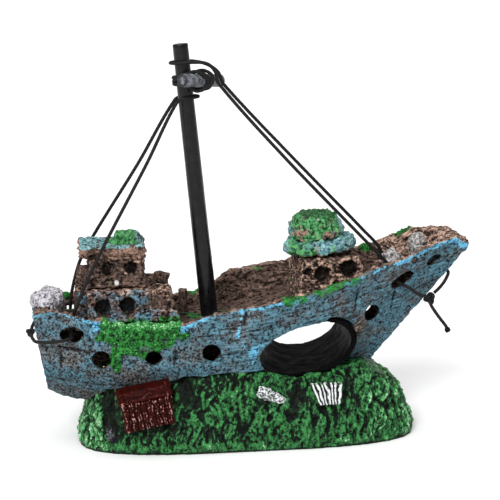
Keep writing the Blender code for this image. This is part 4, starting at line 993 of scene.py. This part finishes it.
def make_chest():
    turn = math.radians(-10)
    c, s = math.cos(turn), math.sin(turn)
    for node in ("chest_body", "chest_lid"):
        cast = remeshed(node, 0.2)
        cast.soften(4)
        p = cast.p
        x, y, z = (p - CHEST_MIDDLE).T
        u, v = x * c - z * s, x * s + z * c  # along the chest, and up it
        front = step(-y, 0.5, 2.5)
        strap = bell(np.abs(u), 6.3, 0.55)
        if node == "chest_body":
            stave = np.abs(((u + 0.7 * noise(p, (3, 3, 2.5), 233)) / 1.7 + 0.5) % 1 - 0.5) * 1.7
            depth = front * (0.25 * layered(p, (0.9, 0.9, 2.4), 230, 2) - 0.38 * bell(stave, 0, 0.26))
            hoop = bell(v, 1.3, 0.5) + 0.7 * bell(v, -5.4, 0.5)
        else:
            wave = v - 3.6 - 0.5 * np.sin(u * 0.9 + 0.4) - 0.4 * noise(p, 3, 231)
            depth = (front * (0.16 * bell(wave, 0.75, 0.4) - 0.22 * bell(wave, 0, 0.3))
                     + 0.14 * layered(p, 1.8, 232, 2))
            hoop = bell(v, 2.4, 0.4)
        cast.push(depth + front * (0.32 * strap + 0.18 * hoop))
        masks = {"relief": cast.relief(7, 4.0), "strap": unit(strap + 0.5 * hoop)}
        if node == "chest_body":
            masks["stave"] = front * unit(bell(stave, 0.5, 0.25) + 0.4 * noise(cast.p, 1.6, 234))
        cast.made(node, "staves" if node == "chest_body" else "arched", "chest_red", **masks)


def make_shells():
    cast = remeshed("scallop_shell", 0.16)
    cast.soften(3)
    x, y, z = (cast.p - SCALLOP_MIDDLE).T
    rise = (z + 2.9) / 6.1
    teeth = (x + 2.2 + 2.8 * rise) / (6.2 + 3.2 * rise) * 14 + 0.9 * noise(cast.p, (1.6, 1.6, 3.0), 242)
    rib = -np.cos(math.pi * teeth)
    cast.push(0.3 * rib * step(-y, 0.2, 1.2) + 0.12 * layered(cast.p, 1.2, 240, 2))
    cast.made("scallop_shell", "ribbed", "shell_white", relief=np.clip(cast.relief(6, 4.0) + 0.6 * rib, -1, 1),
              moss=unit(step(z, 1.9, 3.2) * 0.75 + 0.3 * noise(cast.p, 2, 241)))
    cast = remeshed("turret_shell", 0.16)
    cast.soften(2)
    cast.push(0.25 * layered(cast.p, 1.3, 245, 3) - 0.3 * step(noise(cast.p, 1.0, 246), 0.45, 0.7))
    cast.made("turret_shell", "whorled", "shell_white", relief=cast.relief(6, 6.0),
              moss=unit(0.5 * step(noise(cast.p, 2, 247), 0.3, 0.6)))


# ---- air supply

def make_air_supply():
    stone = remeshed("air_stone", 0.3)
    stone.soften(2)
    stone.push(0.22 * layered(stone.p, 1.0, 250, 2) - 0.2 * step(noise(stone.p, 0.9, 251), 0.3, 0.6))
    stone.made("air_stone", "porous", "air_stone_grey", relief=stone.relief(6, 4.0))
    for node, slot, voxel in (("stone_nipple", "white_plastic", 0.14), ("air_hose", "clear_hose", 0.16),
                              ("air_inlet_elbow", "white_plastic", 0.16), ("inlet_grommet", "black_rubber", 0.2)):
        cast = remeshed(node, voxel)
        cast.soften(3)
        cast.made(node, "moulded", slot)


# ---- floor and light

def set_stage():
    bm = bmesh.new()
    bmesh.ops.create_grid(bm, x_segments=1, y_segments=1, size=20)
    mesh = bpy.data.meshes.new("floor")
    bm.to_mesh(mesh)
    bm.free()
    floor = linked("floor", mesh)
    s = Shade("floor_white")
    mesh.materials.append(s.finish(s.mix(s.noise(40), (248, 248, 248), (252, 252, 252)), 0.9))

    world = bpy.data.worlds.new("studio")
    world.use_nodes = True
    sky = world.node_tree.nodes["Background"].inputs
    sky["Color"].default_value, sky["Strength"].default_value = (1, 1, 1, 1), 0.45
    bpy.context.scene.world = world
    for name, way, width, strength in (("key", (0.45, 0.9, -0.75), 25, 2.2), ("top", (0.2, 0.15, -1), 70, 1.5)):
        light = bpy.data.lights.new(name, "SUN")
        light.angle, light.energy = math.radians(width), strength
        lamp = linked(name, light)
        lamp.rotation_mode = "QUATERNION"
        lamp.rotation_quaternion = Vector(way).to_track_quat("-Z", "Y")
    bpy.context.scene.view_settings.view_transform = "Standard"


set_camera()
make_rigging()
make_spars()
make_base()
make_tunnel()
make_hull()
make_deck()
make_stern_cabin()
make_bow_cabin()
make_fittings()
make_chest()
make_shells()
make_air_supply()
set_stage()
